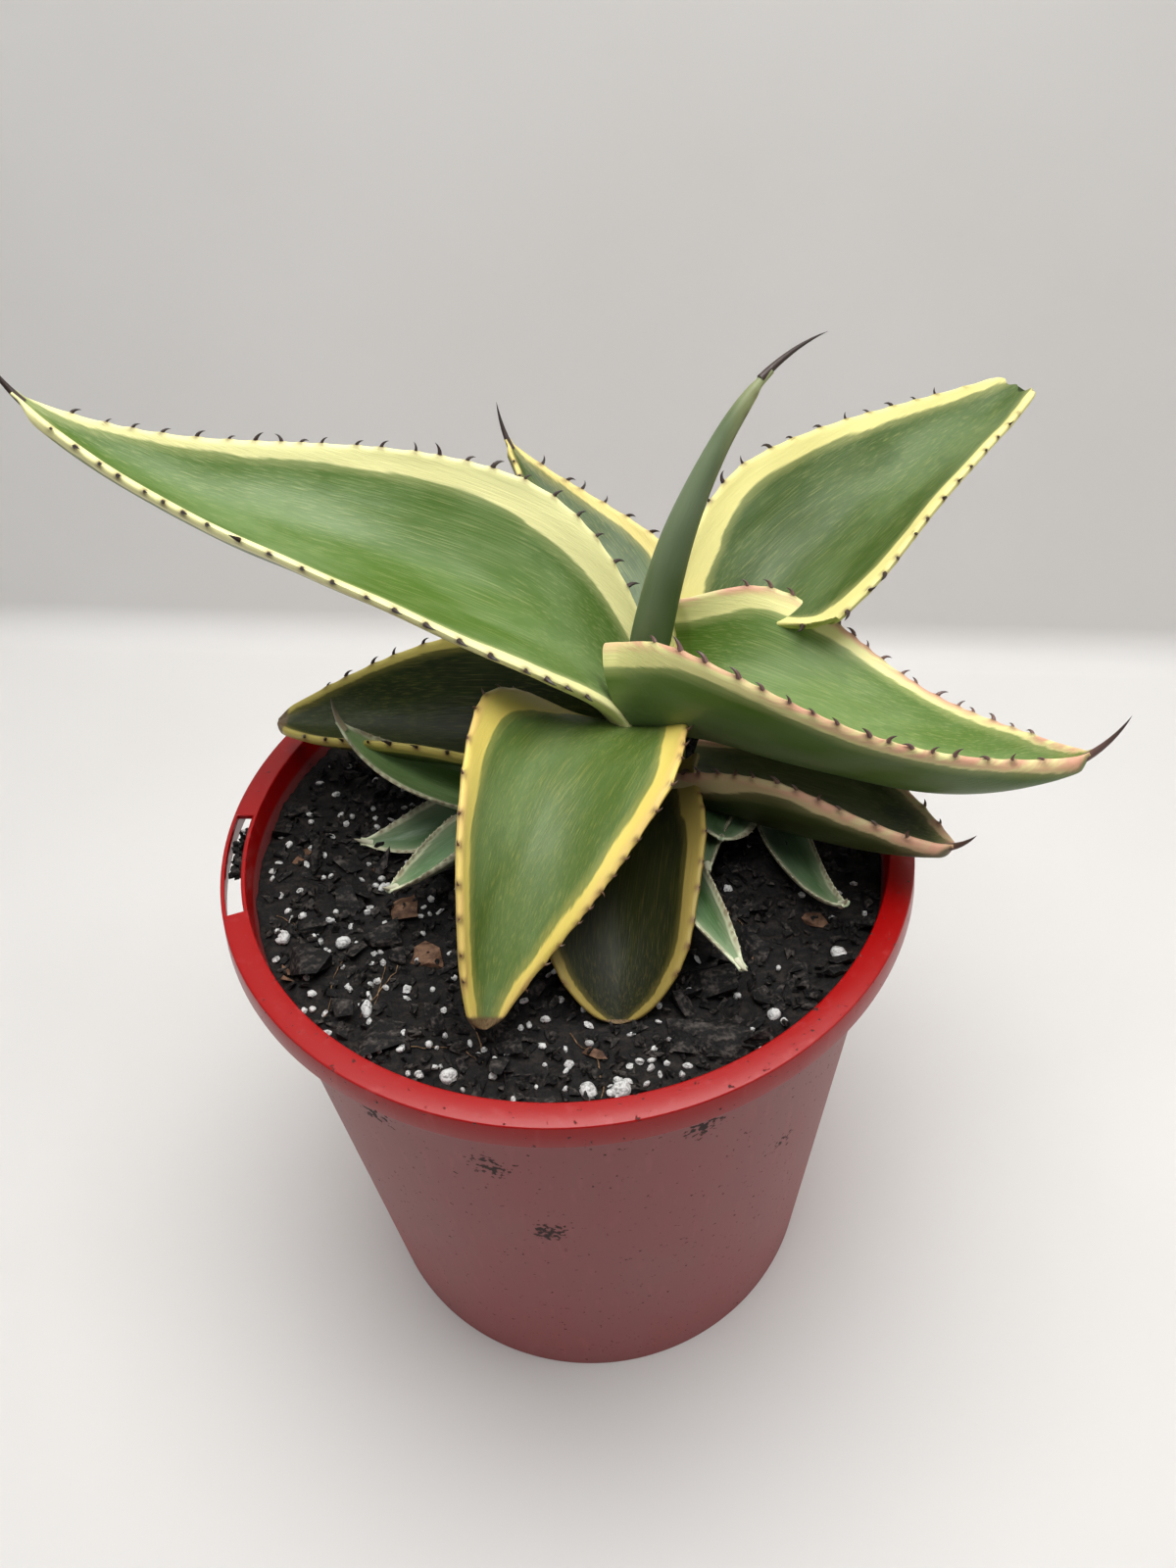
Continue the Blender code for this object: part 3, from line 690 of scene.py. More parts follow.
@dataclass
class PottingMix:
    """The dark bark mix, with crumbs of bark and grains of perlite on it."""

    pot: Pot
    level: float = 185.0
    mound: float = 2.5
    centre: tuple[float, float] = (25.0, 15.0)
    spread: float = 45.0
    uneven: float = 1.2
    grain: float = 22.0
    cells: int = 200
    bottom: float = 5.4
    perlite: int = 400
    crumbs: int = 2200
    chunks: int = 130
    brown: int = 26
    hairs: int = 26
    moulds: int = 14  # different lumps that one scatter repeats
    top_gap: float = 0.25  # between the bed and the pot's wall
    foot_gap: float = 0.4
    wall_gap: float = 2.2  # between the wall and the loose bits

    def height(self, x: float, y: float) -> float:
        """Gives the mix's height: level at the rim and mounded at the plants.

        Args:
            x: the place from left to right.
            y: the place from front to back.

        Returns:
            The height, in millimetres.
        """
        away = math.dist((x, y), self.centre)
        mound = self.mound * math.exp(-((away / self.spread) ** 2))
        return self.level + mound + self.uneven * noise.noise(Vector((x, y, 0)) / self.grain)

    def crumbled(self, x: float, y: float) -> float:
        """The height with its crumbs and small hollows."""
        lumps = noise.noise(Vector((x, y, 7)) / 5.5) * 1.5 + noise.noise(Vector((x, y, 3)) / 2.1) * 0.8
        return self.height(x, y) + lumps - 0.4

    def bed(self) -> None:
        """Builds the bed of mix, filling the pot."""
        top = self.pot.outer(self.level) - self.pot.wall - self.top_gap
        bm = bmesh.new()
        bmesh.ops.create_grid(bm, x_segments=self.cells, y_segments=self.cells, size=1.0)
        for vert in bm.verts:
            x, y = vert.co.x, vert.co.y
            round_x, round_y = x * math.sqrt(1 - y * y / 2), y * math.sqrt(1 - x * x / 2)
            x, y = round_x * top, round_y * top
            vert.co = (x, y, self.crumbled(x, y))
        rim = [edge for edge in bm.edges if edge.is_boundary]
        skirt = bmesh.ops.extrude_edge_only(bm, edges=rim)["geom"]
        narrow = (self.pot.outer(self.bottom) - self.pot.wall - self.foot_gap) / top
        for vert in (g for g in skirt if isinstance(g, bmesh.types.BMVert)):
            vert.co = (vert.co.x * narrow, vert.co.y * narrow, self.bottom)
        bmesh.ops.holes_fill(bm, edges=[edge for edge in bm.edges if edge.is_boundary], sides=0)
        bmesh.ops.recalc_face_normals(bm, faces=bm.faces)
        place_piece("mix_bed", bm, MIX_FINISH.material("potting mix"), Slot.MIX, "potting_mix")

    def lump(self, chance: random.Random, size: Triple, angular: float, detail: int) -> bmesh.types.BMesh:
        """One broken lump.

        Args:
            chance: where its shape comes from.
            size: its sides.
            angular: 0 for rounded, 1 for split with flat faces.
            detail: subdivisions of the ball it starts from.

        Returns:
            Its mesh, centred on the origin.
        """
        bm = bmesh.new()
        if angular > 0.5:
            for _ in range(13):
                bm.verts.new([chance.uniform(-0.5, 0.5) * side for side in size])
            bmesh.ops.convex_hull(bm, input=bm.verts)
            bmesh.ops.delete(bm, geom=[vert for vert in bm.verts if not vert.link_faces], context="VERTS")
            return bm
        bmesh.ops.create_icosphere(bm, subdivisions=detail, radius=0.5)
        shift = Vector([chance.uniform(-50, 50) for _ in range(3)])
        for vert in bm.verts:
            unit = vert.co * 2
            boxy = Vector([math.copysign(abs(c) ** (1 - 0.55 * angular), c) for c in unit])
            rough = 1 + 0.34 * noise.noise(unit * 1.9 + shift)
            vert.co = Vector([c * 0.5 * rough * side for c, side in zip(boxy, size)])
        return bm

    def scatter(
        self, name: str, count: int, shade: bpy.types.Material, slot: Slot, seed: int,
        sizes: Callable[[random.Random], Triple], weight: Callable[[float, float], float], angular: float,
    ) -> None:
        """Scatters lumps over the bed as one piece.

        Args:
            name: the piece's name.
            count: how many lumps.
            shade: their material.
            slot: the record's material slot.
            seed: starts the chance.
            sizes: gives the sides of a lump.
            weight: how likely a place is, 0 to 1.
            angular: how split the lumps look.
        """
        chance = random.Random(seed)
        moulds = []
        for _ in range(self.moulds):
            lump = self.lump(chance, (1, 1, 1), angular, 2)
            mesh = bpy.data.meshes.new("mould")
            lump.to_mesh(mesh)
            lump.free()
            moulds.append(mesh)
        bm = bmesh.new()
        reach = self.pot.outer(self.level) - self.pot.wall - self.wall_gap
        made = 0
        while made < count:
            radius, angle = reach * math.sqrt(chance.random()), chance.uniform(0, math.tau)
            x, y = radius * math.cos(angle), radius * math.sin(angle)
            if chance.random() > weight(x, y):
                continue
            size = sizes(chance)
            before = len(bm.verts)
            bm.from_mesh(chance.choice(moulds))
            bm.verts.ensure_lookup_table()
            turn = Euler([chance.uniform(-0.7, 0.7), chance.uniform(-0.7, 0.7), chance.uniform(0, math.tau)])
            spot = Vector((x, y, self.crumbled(x, y) + size[2] * chance.uniform(0.15, 0.5)))
            matrix = Matrix.Translation(spot) @ turn.to_matrix().to_4x4() @ Matrix.Diagonal((*size, 1))
            bmesh.ops.transform(bm, matrix=matrix, verts=bm.verts[before:])
            made += 1
        place_piece(name, bm, shade, slot)

    def roots(self) -> None:
        """Lays fine dry root hairs on the mix."""
        chance = random.Random(5)
        bm = bmesh.new()
        for _ in range(self.hairs):
            radius, angle = HAIR_START * math.sqrt(chance.random()), chance.uniform(0, math.tau)
            x, y = radius * math.cos(angle), radius * math.sin(angle)
            heading = chance.uniform(0, math.tau)
            thick = chance.uniform(0.10, 0.2)
            ring = bmesh.ops.create_circle(bm, segments=5, radius=thick, cap_ends=True)["verts"]
            aim = Vector((math.cos(heading), math.sin(heading), 0))
            tilt = UP.rotation_difference(aim).to_matrix().to_4x4()
            start = Matrix.Translation((x, y, self.crumbled(x, y) + HAIR_LIFT))
            bmesh.ops.transform(bm, matrix=start @ tilt, verts=ring)
            face = ring[0].link_faces[0]
            for _ in range(chance.randint(7, 13)):
                heading += chance.uniform(-0.45, 0.45)
                step = Vector((math.cos(heading), math.sin(heading), 0)) * HAIR_STEP
                x, y = x + step.x, y + step.y
                if math.hypot(x, y) > HAIR_END:
                    break
                grown = bmesh.ops.extrude_discrete_faces(bm, faces=[face])["faces"]
                face = grown[0]
                middle = face.calc_center_median()
                step.z = self.crumbled(x, y) + HAIR_LIFT - middle.z
                bmesh.ops.translate(bm, vec=step, verts=face.verts)
        bmesh.ops.recalc_face_normals(bm, faces=bm.faces)
        place_piece("root_hairs", bm, ROOT_FINISH.material("dry roots"), Slot.BROWN)

    def build(self) -> None:
        """Builds the bed and everything loose on it, and dresses the CAD's own chips and grains."""
        self.bed()
        char, brown = CHAR_FINISH.material("charred bark"), BROWN_FINISH.material("brown bark")
        white = PERLITE_FINISH.material("perlite")

        def front_left(x: float, y: float) -> float:
            """Denser on the left and at the front."""
            return 0.22 + 0.78 * smooth(-20, 70, -x * 0.7 - y * 0.7)

        def anywhere(x: float, y: float) -> float:
            """The same all over."""
            return 1.0

        self.scatter("perlite_grains", self.perlite, white, Slot.PERLITE, 11,
                     lambda c: (c.uniform(1.0, 3.0), c.uniform(1.0, 2.6), c.uniform(0.9, 2.2)), front_left, 0.0)
        self.scatter("bark_crumbs", self.crumbs, char, Slot.DARK, 12,
                     lambda c: (c.uniform(1.4, 6.0), c.uniform(1.2, 3.6), c.uniform(1.0, 2.6)), anywhere, 0.8)
        self.scatter("bark_pieces", self.chunks, char, Slot.DARK, 13,
                     lambda c: (c.uniform(6, 15), c.uniform(4, 9), c.uniform(2.6, 5.0)), anywhere, 1.0)
        self.scatter("brown_pieces", self.brown, brown, Slot.BROWN, 14,
                     lambda c: (c.uniform(3, 9), c.uniform(2.5, 5.5), c.uniform(1.2, 2.6)), anywhere, 1.0)
        self.roots()
        for name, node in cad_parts.items():
            if name.startswith("perlite"):
                self.refine(node, white, Slot.PERLITE, 0.25)
            elif name in ("bark_chip_1", "bark_chip_2"):
                self.chip(name, brown, Slot.BROWN)
            elif name.startswith("bark_chip"):
                self.chip(name, char, Slot.DARK)
        self.slot_crumbs(char, white)

    def chip(self, name: str, shade: bpy.types.Material, slot: Slot) -> None:
        """Splits one of the CAD's bark chips into a flat-faced flake that fills its box.

        Args:
            name: the CAD node.
            shade: its material.
            slot: the record's material slot.
        """
        low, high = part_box(name)
        chance = random.Random(name)
        size = (high - low) / MM
        bm = self.lump(chance, (1.0, 1.0, 1.0), 1.0, 1)
        bmesh.ops.triangulate(bm, faces=bm.faces)
        bmesh.ops.subdivide_edges(bm, edges=bm.edges, cuts=2, use_grid_fill=True)
        spread = [max(v.co[i] for v in bm.verts) - min(v.co[i] for v in bm.verts) for i in range(3)]
        bmesh.ops.scale(bm, vec=[side / wide for side, wide in zip(size, spread)], verts=bm.verts)
        for vert in bm.verts:
            vert.co += vert.co.normalized() * noise.noise(vert.co * 0.9) * 0.5
        bmesh.ops.translate(bm, vec=(low + high) / 2 / MM, verts=bm.verts)
        bmesh.ops.recalc_face_normals(bm, faces=bm.faces)
        place_piece(f"{name}_flake", bm, shade, slot, name)

    def slot_crumbs(self, char: bpy.types.Material, white: bpy.types.Material) -> None:
        """Packs spilt mix into the back half of the label slot.

        Args:
            char: the bark's material.
            white: the perlite's material.
        """
        chance = random.Random(31)
        start, _ = self.pot.slot_span
        inner, outer = self.pot.slot_radii
        for name, count, shade, slot, big in (
            ("slot_mix", 70, char, Slot.DARK, 3.0), ("slot_grains", 9, white, Slot.PERLITE, 1.8),
        ):
            bm = bmesh.new()
            for _ in range(count):
                size = [chance.uniform(0.5, 1.0) * big for _ in range(3)]
                grain = self.lump(chance, tuple(size), 1.0 if shade is char else 0.0, 1)
                angle = math.radians(start + chance.uniform(0.8, 12.0))
                radius = chance.uniform(inner + size[0] * 0.3, outer - size[0] * 0.3)
                height = chance.uniform(189.5, 193.5)
                spot = Vector((radius * math.cos(angle), radius * math.sin(angle), height))
                bmesh.ops.translate(grain, vec=spot, verts=grain.verts)
                mesh = bpy.data.meshes.new("grain")
                grain.to_mesh(mesh)
                grain.free()
                bm.from_mesh(mesh)
            bmesh.ops.recalc_face_normals(bm, faces=bm.faces)
            place_piece(name, bm, shade, slot)

    def refine(self, node: bpy.types.Object, shade: bpy.types.Material, slot: Slot, rough: float) -> None:
        """Makes a finer, rougher copy of one of the CAD's loose bits.

        Args:
            node: the CAD node.
            shade: its material.
            slot: the record's material slot.
            rough: height of its roughness.
        """
        bm = bmesh.new()
        bm.from_mesh(node.data)
        bmesh.ops.scale(bm, vec=(1 / MM, 1 / MM, 1 / MM), verts=bm.verts)
        bmesh.ops.remove_doubles(bm, verts=bm.verts, dist=1e-3)
        bmesh.ops.subdivide_edges(bm, edges=bm.edges, cuts=2, smooth=0.6, use_grid_fill=True)
        bmesh.ops.recalc_face_normals(bm, faces=bm.faces)
        bm.normal_update()
        for vert in bm.verts:
            vert.co += vert.normal * noise.noise(vert.co * 0.8) * rough
        place_piece(f"{node.name}_bit", bm, shade, slot, node.name)


@dataclass(frozen=True)
class Leaf:
    """A fleshy toothed leaf. Triples run base, middle, tip, and pairs run base, tip."""

    name: str
    root: Triple
    heading: tuple[float, float]
    rise: Triple
    length: float
    width: float
    widest: float
    neck: float
    taper: float
    roll: tuple[float, float]
    left_cup: Triple
    right_cup: Triple
    thickness: float = 8.0
    edge: float = 2.0
    spine: float = 0.0
    blunt: float = 0.0
    left_band: Triple = (7.0, 7.0, 3.0)  # width of the pale band at the left margin
    right_band: Triple = (7.0, 7.0, 3.0)
    spacing: float = 7.6  # between one tooth and the next
    tooth: float = 3.9
    finish: LeafFinish = LeafFinish()
    teeth: SpineFinish = SpineFinish()
    tuck: tuple[float, float] = (0.0, 0.0)  # shares between which the right side widens past a neighbour
    dry_end: float = 0.0  # length of dried brown tip
    rounded: float = 0.0  # share of the length over which a cut end rounds off
    ragged: float = 0.0  # unevenness of a cut end
    slot: Slot = Slot.LEAF
    quarter: int = 24  # columns from midrib to margin
    rows: int = 150
    seed: int = 1


HEADING_EASE = 1.3
CURL_EASE = 0.7
NECK_EASE = 1.4
BELLY_THINNING = 0.6
ROOT_RUN = 5.0
TIP_HALF_WIDTH = 0.9
MIDRIB_STEPS = 240
TUCKED_WIDTH = 0.25
TRIM_REACH = 2.4  # how far the skin may stand from the CAD leaf before it counts as trimmed
ROUNDING = 1.6  # width over which a margin rounds off
CURL_STEPS = 48
FIRST_TOOTH = 0.10  # shares of the length between which the margins have teeth
LAST_TOOTH = 0.93
BARE_END = 0.9  # the share past which a blunt leaf has no teeth
TOOTH_REACH = 1.5  # how far along the margin it swells under a tooth
TOOTH_SWELLING = 0.4
TOOTH_STAND = 0.25  # how far a tooth's foot stands out from the margin
STOUTNESS = 0.21  # radius of a tooth's foot as a share of its length
SPINE_SEAT = 3.5  # how deep the end spine is seated in the tip
BAND_PEAK = 0.26  # share of the length at which a pale band is widest
BAND_FALL = 0.6
WIDEST_BAND = 0.42  # the most of a half width that a pale band takes
CLOSER_AT_MARGIN = 1.5  # how much closer the skin's columns stand at the margin
NEAR_MARGIN = 0.86  # share of the half width at which the ripples stop
UNDER_EDGE = 0.97  # share of the half width at which the underside's colour stops
RIPPLE = 0.7


def through(values: Triple, share: float) -> float:
    """Follows the parabola through three values.

    Args:
        values: the values at the base, the middle and the tip.
        share: the share of the length.

    Returns:
        The value there.
    """
    base, middle, tip = values
    late = 2 * share - 1
    return base * late * (share - 1) + middle * 4 * share * (1 - share) + tip * share * late


def band_width(values: Triple, share: float) -> float:
    """Gives a pale band's width: widest in the lower half, then narrowing fast towards the tip.

    Args:
        values: its width at the base, where it is widest, and at the tip.
        share: the share of the length.

    Returns:
        The width, in millimetres.
    """
    base, middle, tip = values
    if share < BAND_PEAK:
        return between((base, middle), smooth(0.0, BAND_PEAK, share))
    return between((middle, tip), ((share - BAND_PEAK) / (1 - BAND_PEAK)) ** BAND_FALL)


def between(pair: tuple[float, float], share: float) -> float:
    """The value a share of the way from the first to the second."""
    return pair[0] + (pair[1] - pair[0]) * share


@dataclass
class Section:
    """Where one cross-section of a leaf stands, and how it curls."""

    centre: Vector
    along: Vector
    left: Vector
    up: Vector
    halves: dict[int, float]
    belly: float
    curls: dict[int, list[Triple]]


class Blade:
    """The shape of one leaf: its midrib, its cross-sections and its margins."""

    def __init__(self, leaf: Leaf) -> None:
        """Walks the midrib and keeps its centres.

        Args:
            leaf: the leaf's sizes.
        """
        self.leaf = leaf
        self.centres = [Vector(leaf.root)]
        step = leaf.length / MIDRIB_STEPS
        for index in range(MIDRIB_STEPS):
            along, _ = self.direction((index + 0.5) / MIDRIB_STEPS)
            self.centres.append(self.centres[-1] + along * step)
        self.spots = {side: list(self.tooth_shares(side)) for side in (1, -1)}

    def direction(self, share: float) -> tuple[Vector, Vector]:
        """Gives the way the midrib runs.

        Args:
            share: the share of its length.

        Returns:
            The direction along it, and the level direction to its left.
        """
        share = min(max(share, 0.0), 1.0)
        heading = math.radians(between(self.leaf.heading, share**HEADING_EASE))
        rise = math.radians(through(self.leaf.rise, share))
        flat = Vector((math.cos(heading), math.sin(heading), 0))
        return flat * math.cos(rise) + UP * math.sin(rise), Vector((-flat.y, flat.x, 0))

    def centre(self, share: float) -> Vector:
        """Gives the midrib's place.

        Args:
            share: the share of its length, which may run back past the base.

        Returns:
            The place, in millimetres.
        """
        if share <= 0:
            return self.centres[0] + self.direction(0)[0] * share * self.leaf.length
        place = share * MIDRIB_STEPS
        index = min(int(place), MIDRIB_STEPS - 1)
        return self.centres[index].lerp(self.centres[index + 1], place - index)

    def half_width(self, share: float) -> float:
        """Gives half the width across the leaf, laid flat.

        Args:
            share: the share of the length.

        Returns:
            The half width, in millimetres.
        """
        leaf = self.leaf
        if share < leaf.widest:
            swelling = math.sin(math.pi / 2 * max(share, 0.0) / leaf.widest) ** NECK_EASE
            part = between((leaf.neck, 1.0), swelling)
        else:
            past = (share - leaf.widest) / (1 - leaf.widest)
            part = between((1.0, leaf.blunt), past**leaf.taper)
        if leaf.rounded and share > 1 - leaf.rounded:
            past = (share - 1 + leaf.rounded) / leaf.rounded
            part *= math.sqrt(max(1 - past * past, 0.0))
        return max(leaf.width / 2 * part, TIP_HALF_WIDTH)

    def tucked(self, share: float) -> float:
        """Share of its width that the right side keeps where it is tucked under a neighbour."""
        start, end = self.leaf.tuck
        return between((TUCKED_WIDTH, 1.0), smooth(start, end, share)) if end else 1.0

    def tooth_shares(self, side: int) -> Iterator[float]:
        """Spaces the teeth of one margin unevenly.

        Args:
            side: 1 for left of the midrib, -1 for right.

        Yields:
            The share of the length of each tooth.
        """
        chance = random.Random(self.leaf.seed * 10 + side)
        share = FIRST_TOOTH
        while share < LAST_TOOTH:
            yield share
            share += self.leaf.spacing * chance.uniform(0.7, 1.3) / self.leaf.length

    def curl(self, cup: float, half: float, count: int) -> list[Triple]:
        """Curls the upper face from the midrib to a margin, in even steps.

        Args:
            cup: how far the margin leans in, in radians.
            half: the half width, laid flat.
            count: how many steps.

        Returns:
            The (across, inward, lean) of each step.
        """
        points = [(0.0, 0.0, 0.0)]
        for column in range(count):
            lean = cup * ((column + 0.5) / count) ** CURL_EASE
            across = points[-1][0] + math.cos(lean) * half / count
            inward = points[-1][1] + math.sin(lean) * half / count
            points.append((across, inward, cup * ((column + 1) / count) ** CURL_EASE))
        return points

    def section(self, share: float) -> Section:
        """Works out a cross-section.

        Args:
            share: the share of the length, which may run back past the base.

        Returns:
            The cross-section.
        """
        leaf = self.leaf
        inside = max(share, 0.0)
        along, level = self.direction(inside)
        raised = along.cross(level)
        roll = math.radians(between(leaf.roll, inside))
        left = level * math.cos(roll) + raised * math.sin(roll)
        up = raised * math.cos(roll) - level * math.sin(roll)
        full = self.half_width(inside)
        halves = {1: full, -1: full * self.tucked(inside)}
        belly = leaf.thickness * (1 - BELLY_THINNING * inside)
        curls = {}
        for side, cup in ((1, leaf.left_cup), (-1, leaf.right_cup)):
            curls[side] = self.curl(math.radians(through(cup, inside)), halves[side], CURL_STEPS)
        return Section(self.centre(share), along, left, up, halves, belly, curls)

    def bumps(self, side: int, share: float) -> float:
        """How far the margin swells under the nearest tooth, 0 to 1."""
        away = min(abs(share - spot) for spot in self.spots[side]) * self.leaf.length
        return math.exp(-((away / TOOTH_REACH) ** 2))

    def point(self, section: Section, side: int, run: float, lower: bool) -> Vector:
        """A point of the skin.

        Args:
            section: the cross-section.
            side: 1 for left of the midrib, -1 for right.
            run: 0 at the midrib, 1 at the margin.
            lower: whether it is on the underside.

        Returns:
            The point, in millimetres.
        """
        curls = section.curls[side]
        place = run * (len(curls) - 1)
        index = min(int(place), len(curls) - 2)
        part = place - index
        across, inward, lean = (a + (b - a) * part for a, b in zip(curls[index], curls[index + 1]))
        outward = section.left * side
        spot = section.centre + outward * across + section.up * inward
        face = section.up * math.cos(lean) - outward * math.sin(lean)
        half = section.halves[side]
        depth = min(between((section.belly, self.leaf.edge), run * run), half)
        rounding = min(ROUNDING, half * 0.5)
        close = max(0.0, (run * half - (half - rounding)) / rounding)
        tuck = (1 - math.sqrt(max(0.0, 1 - close * close))) * depth / 2
        return spot - face * (depth - tuck if lower else tuck)

    def margin(self, side: int, share: float) -> tuple[Vector, Vector, Vector]:
        """Finds a place on a margin.

        Args:
            side: 1 for left of the midrib, -1 for right.
            share: the share of the length.

        Returns:
            The place, the direction outwards from it, and the direction along it.
        """
        section = self.section(share)
        spot = self.point(section, side, 1.0, False)
        lean = section.curls[side][-1][2]
        outward = section.left * side * math.cos(lean) + section.up * math.sin(lean)
        ahead = self.point(self.section(min(share + 0.01, 1.0)), side, 1.0, False) - spot
        return spot, outward, ahead.normalized() if ahead.length else section.along


class LeafMaker:
    """Builds a leaf's skin, its teeth and its end spine."""

    def __init__(self, leaf: Leaf) -> None:
        """Shapes the blade, and keeps the CAD leaf's faces to trim the skin to.

        Args:
            leaf: the leaf's sizes.
        """
        self.leaf = leaf
        self.blade = Blade(leaf)
        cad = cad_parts[leaf.name].data
        faces = [tuple(face.vertices) for face in cad.polygons]
        self.tree = BVHTree.FromPolygons([vert.co for vert in cad.vertices], faces)

    def skin(self) -> None:
        """Builds the skin as a tube round the leaf, and stores the measures that its finish reads."""
        leaf, blade = self.leaf, self.blade
        around = 4 * leaf.quarter
        start = -ROOT_RUN / leaf.length
        bm = bmesh.new()
        layers = {name: bm.verts.layers.float.new(name) for name in ("band", "under", "cork", "dry")}
        layers["blade"] = bm.verts.layers.float_vector.new("blade")
        bmesh.ops.create_grid(bm, x_segments=around, y_segments=leaf.rows, size=1.0)
        rows: dict[int, list[Any]] = {}
        for vert in bm.verts:
            rows.setdefault(round((vert.co.y + 1) / 2 * leaf.rows), []).append(vert)
        for row, verts in rows.items():
            share = start + (1 - start) * row / leaf.rows
            section = blade.section(share)
            inside = max(share, 0.0)
            swell = {side: blade.bumps(side, inside) for side in (1, -1)}
            for vert in verts:
                self.lay(vert, layers, section, inside, swell)
        bmesh.ops.remove_doubles(bm, verts=bm.verts, dist=1e-3)
        self.trim(bm)
        bmesh.ops.holes_fill(bm, edges=[edge for edge in bm.edges if edge.is_boundary], sides=0)
        bmesh.ops.recalc_face_normals(bm, faces=bm.faces)
        shade = leaf.finish.material(f"{leaf.name} skin")
        place_piece(f"{leaf.name}_skin", bm, shade, leaf.slot, leaf.name)

    def lay(
        self, vert: Any, layers: dict[str, Any], section: Section, inside: float, swell: dict[int, float]
    ) -> None:
        """Moves a vertex of a flat grid to its place on the skin, and stores its measures.

        Args:
            vert: the vertex, whose x runs once round the leaf.
            layers: where each measure is stored.
            section: the cross-section that it belongs to.
            inside: the section's share of the length, never below 0.
            swell: how far each margin swells there, 0 to 1.
        """
        leaf = self.leaf
        turn = min(max((vert.co.x + 1) / 2, 0.0), 1.0) * 4
        quarter = min(int(turn + 1e-6), 3)
        part = turn - quarter
        side = 1 if quarter < 2 else -1
        lower = quarter in (0, 3)
        even = part if quarter in (0, 2) else 1 - part
        run = 1 - (1 - min(max(even, 0.0), 1.0)) ** CLOSER_AT_MARGIN
        half = section.halves[side]
        across = side * run * half
        gap = half * (1 - run)
        lean = section.curls[side][int(run * CURL_STEPS)][2]
        outward = section.left * side
        face = section.up * math.cos(lean) - outward * math.sin(lean)
        flat = outward * math.cos(lean) + section.up * math.sin(lean)
        fade = min(inside * 6, 1.0) * min((1 - inside) * 8, 1.0)
        near = smooth(NEAR_MARGIN, 1.0, run)
        ripple = noise.noise(Vector((across * 0.07, inside * leaf.length * 0.04, leaf.seed * 9.0)))
        torn = noise.noise(Vector((across * 0.35, leaf.seed, 0.0))) * leaf.ragged * smooth(0.9, 1.0, inside)
        spot = self.blade.point(section, side, run, lower) + face * ripple * RIPPLE * fade * (1 - near)
        vert.co = spot + flat * TOOTH_SWELLING * near * swell[side] * fade + section.along * torn
        bands = leaf.left_band if side == 1 else leaf.right_band
        width = min(band_width(bands, inside), WIDEST_BAND * half)
        left_over = (1 - inside) * leaf.length
        vert[layers["band"]] = width - gap
        vert[layers["under"]] = 1.0 if lower and run < UNDER_EDGE else 0.0
        vert[layers["cork"]] = swell[side] ** 2 * smooth(1.5, 0.2, gap) * fade * 0.8
        vert[layers["dry"]] = smooth(leaf.dry_end, 0.0, left_over) if leaf.dry_end else 0.0
        vert[layers["blade"]] = (across + 40 * leaf.seed, inside * leaf.length, gap)

    def kept(self, spot: Vector) -> bool:
        """Whether the CAD leaf, which is trimmed where an inner leaf lies, still reaches a place."""
        return self.tree.find_nearest(spot * MM, TRIM_REACH * MM)[0] is not None

    def trim(self, bm: bmesh.types.BMesh) -> None:
        """Takes away the skin that the CAD leaf no longer has, and any scrap left loose.

        Args:
            bm: the skin's mesh.
        """
        gone = [face for face in bm.faces if not any(self.kept(vert.co) for vert in face.verts)]
        bmesh.ops.delete(bm, geom=gone, context="FACES")
        left = set(bm.faces)
        bodies = []
        while left:
            body: set[Any] = set()
            edge = {next(iter(left))}
            while edge:
                body |= edge
                edge = {near for face in edge for e in face.edges for near in e.link_faces} - body
            left -= body
            bodies.append(body)
        bodies.sort(key=len)
        bmesh.ops.delete(bm, geom=[face for body in bodies[:-1] for face in body], context="FACES")

    def hook(
        self, bm: bmesh.types.BMesh, reach: Any, spot: Vector, outward: Vector, forward: Vector,
        size: float, broad: float, bend: float, joints: int = 4, sides: int = 6,
    ) -> None:
        """Grows one curved spine.

        Args:
            bm: the mesh that it joins.
            reach: the layer that stores how far along it each vertex is.
            spot: the middle of its foot.
            outward: the way it first points.
            forward: the way it curves.
            size: its length.
            broad: the radius of its foot.
            bend: how far it curves, in degrees.
            joints: rings between foot and point.
            sides: corners round it.
        """
        ring = bmesh.ops.create_circle(bm, segments=sides, radius=broad, cap_ends=True)["verts"]
        tilt = UP.rotation_difference(outward).to_matrix().to_4x4()
        bmesh.ops.transform(bm, matrix=Matrix.Translation(spot) @ tilt, verts=ring)
        face = ring[0].link_faces[0]
        aim = outward.normalized()
        axis = aim.cross(forward)
        if axis.length < 1e-6:
            axis = aim.orthogonal()
        for joint in range(joints):
            old = face.calc_center_median()
            face = bmesh.ops.extrude_discrete_faces(bm, faces=[face])["faces"][0]
            turn = Matrix.Rotation(math.radians(bend / joints), 3, axis.normalized())
            aim = turn @ aim
            shrink = (1 - (joint + 1) / joints) ** 0.8 / max((1 - joint / joints) ** 0.8, 1e-6)
            shrink = max(shrink, 0.12)
            bmesh.ops.rotate(bm, verts=face.verts, cent=old, matrix=turn)
            for vert in face.verts:
                vert.co = old + (vert.co - old) * shrink + aim * size / joints
                vert[reach] = (joint + 1) / joints

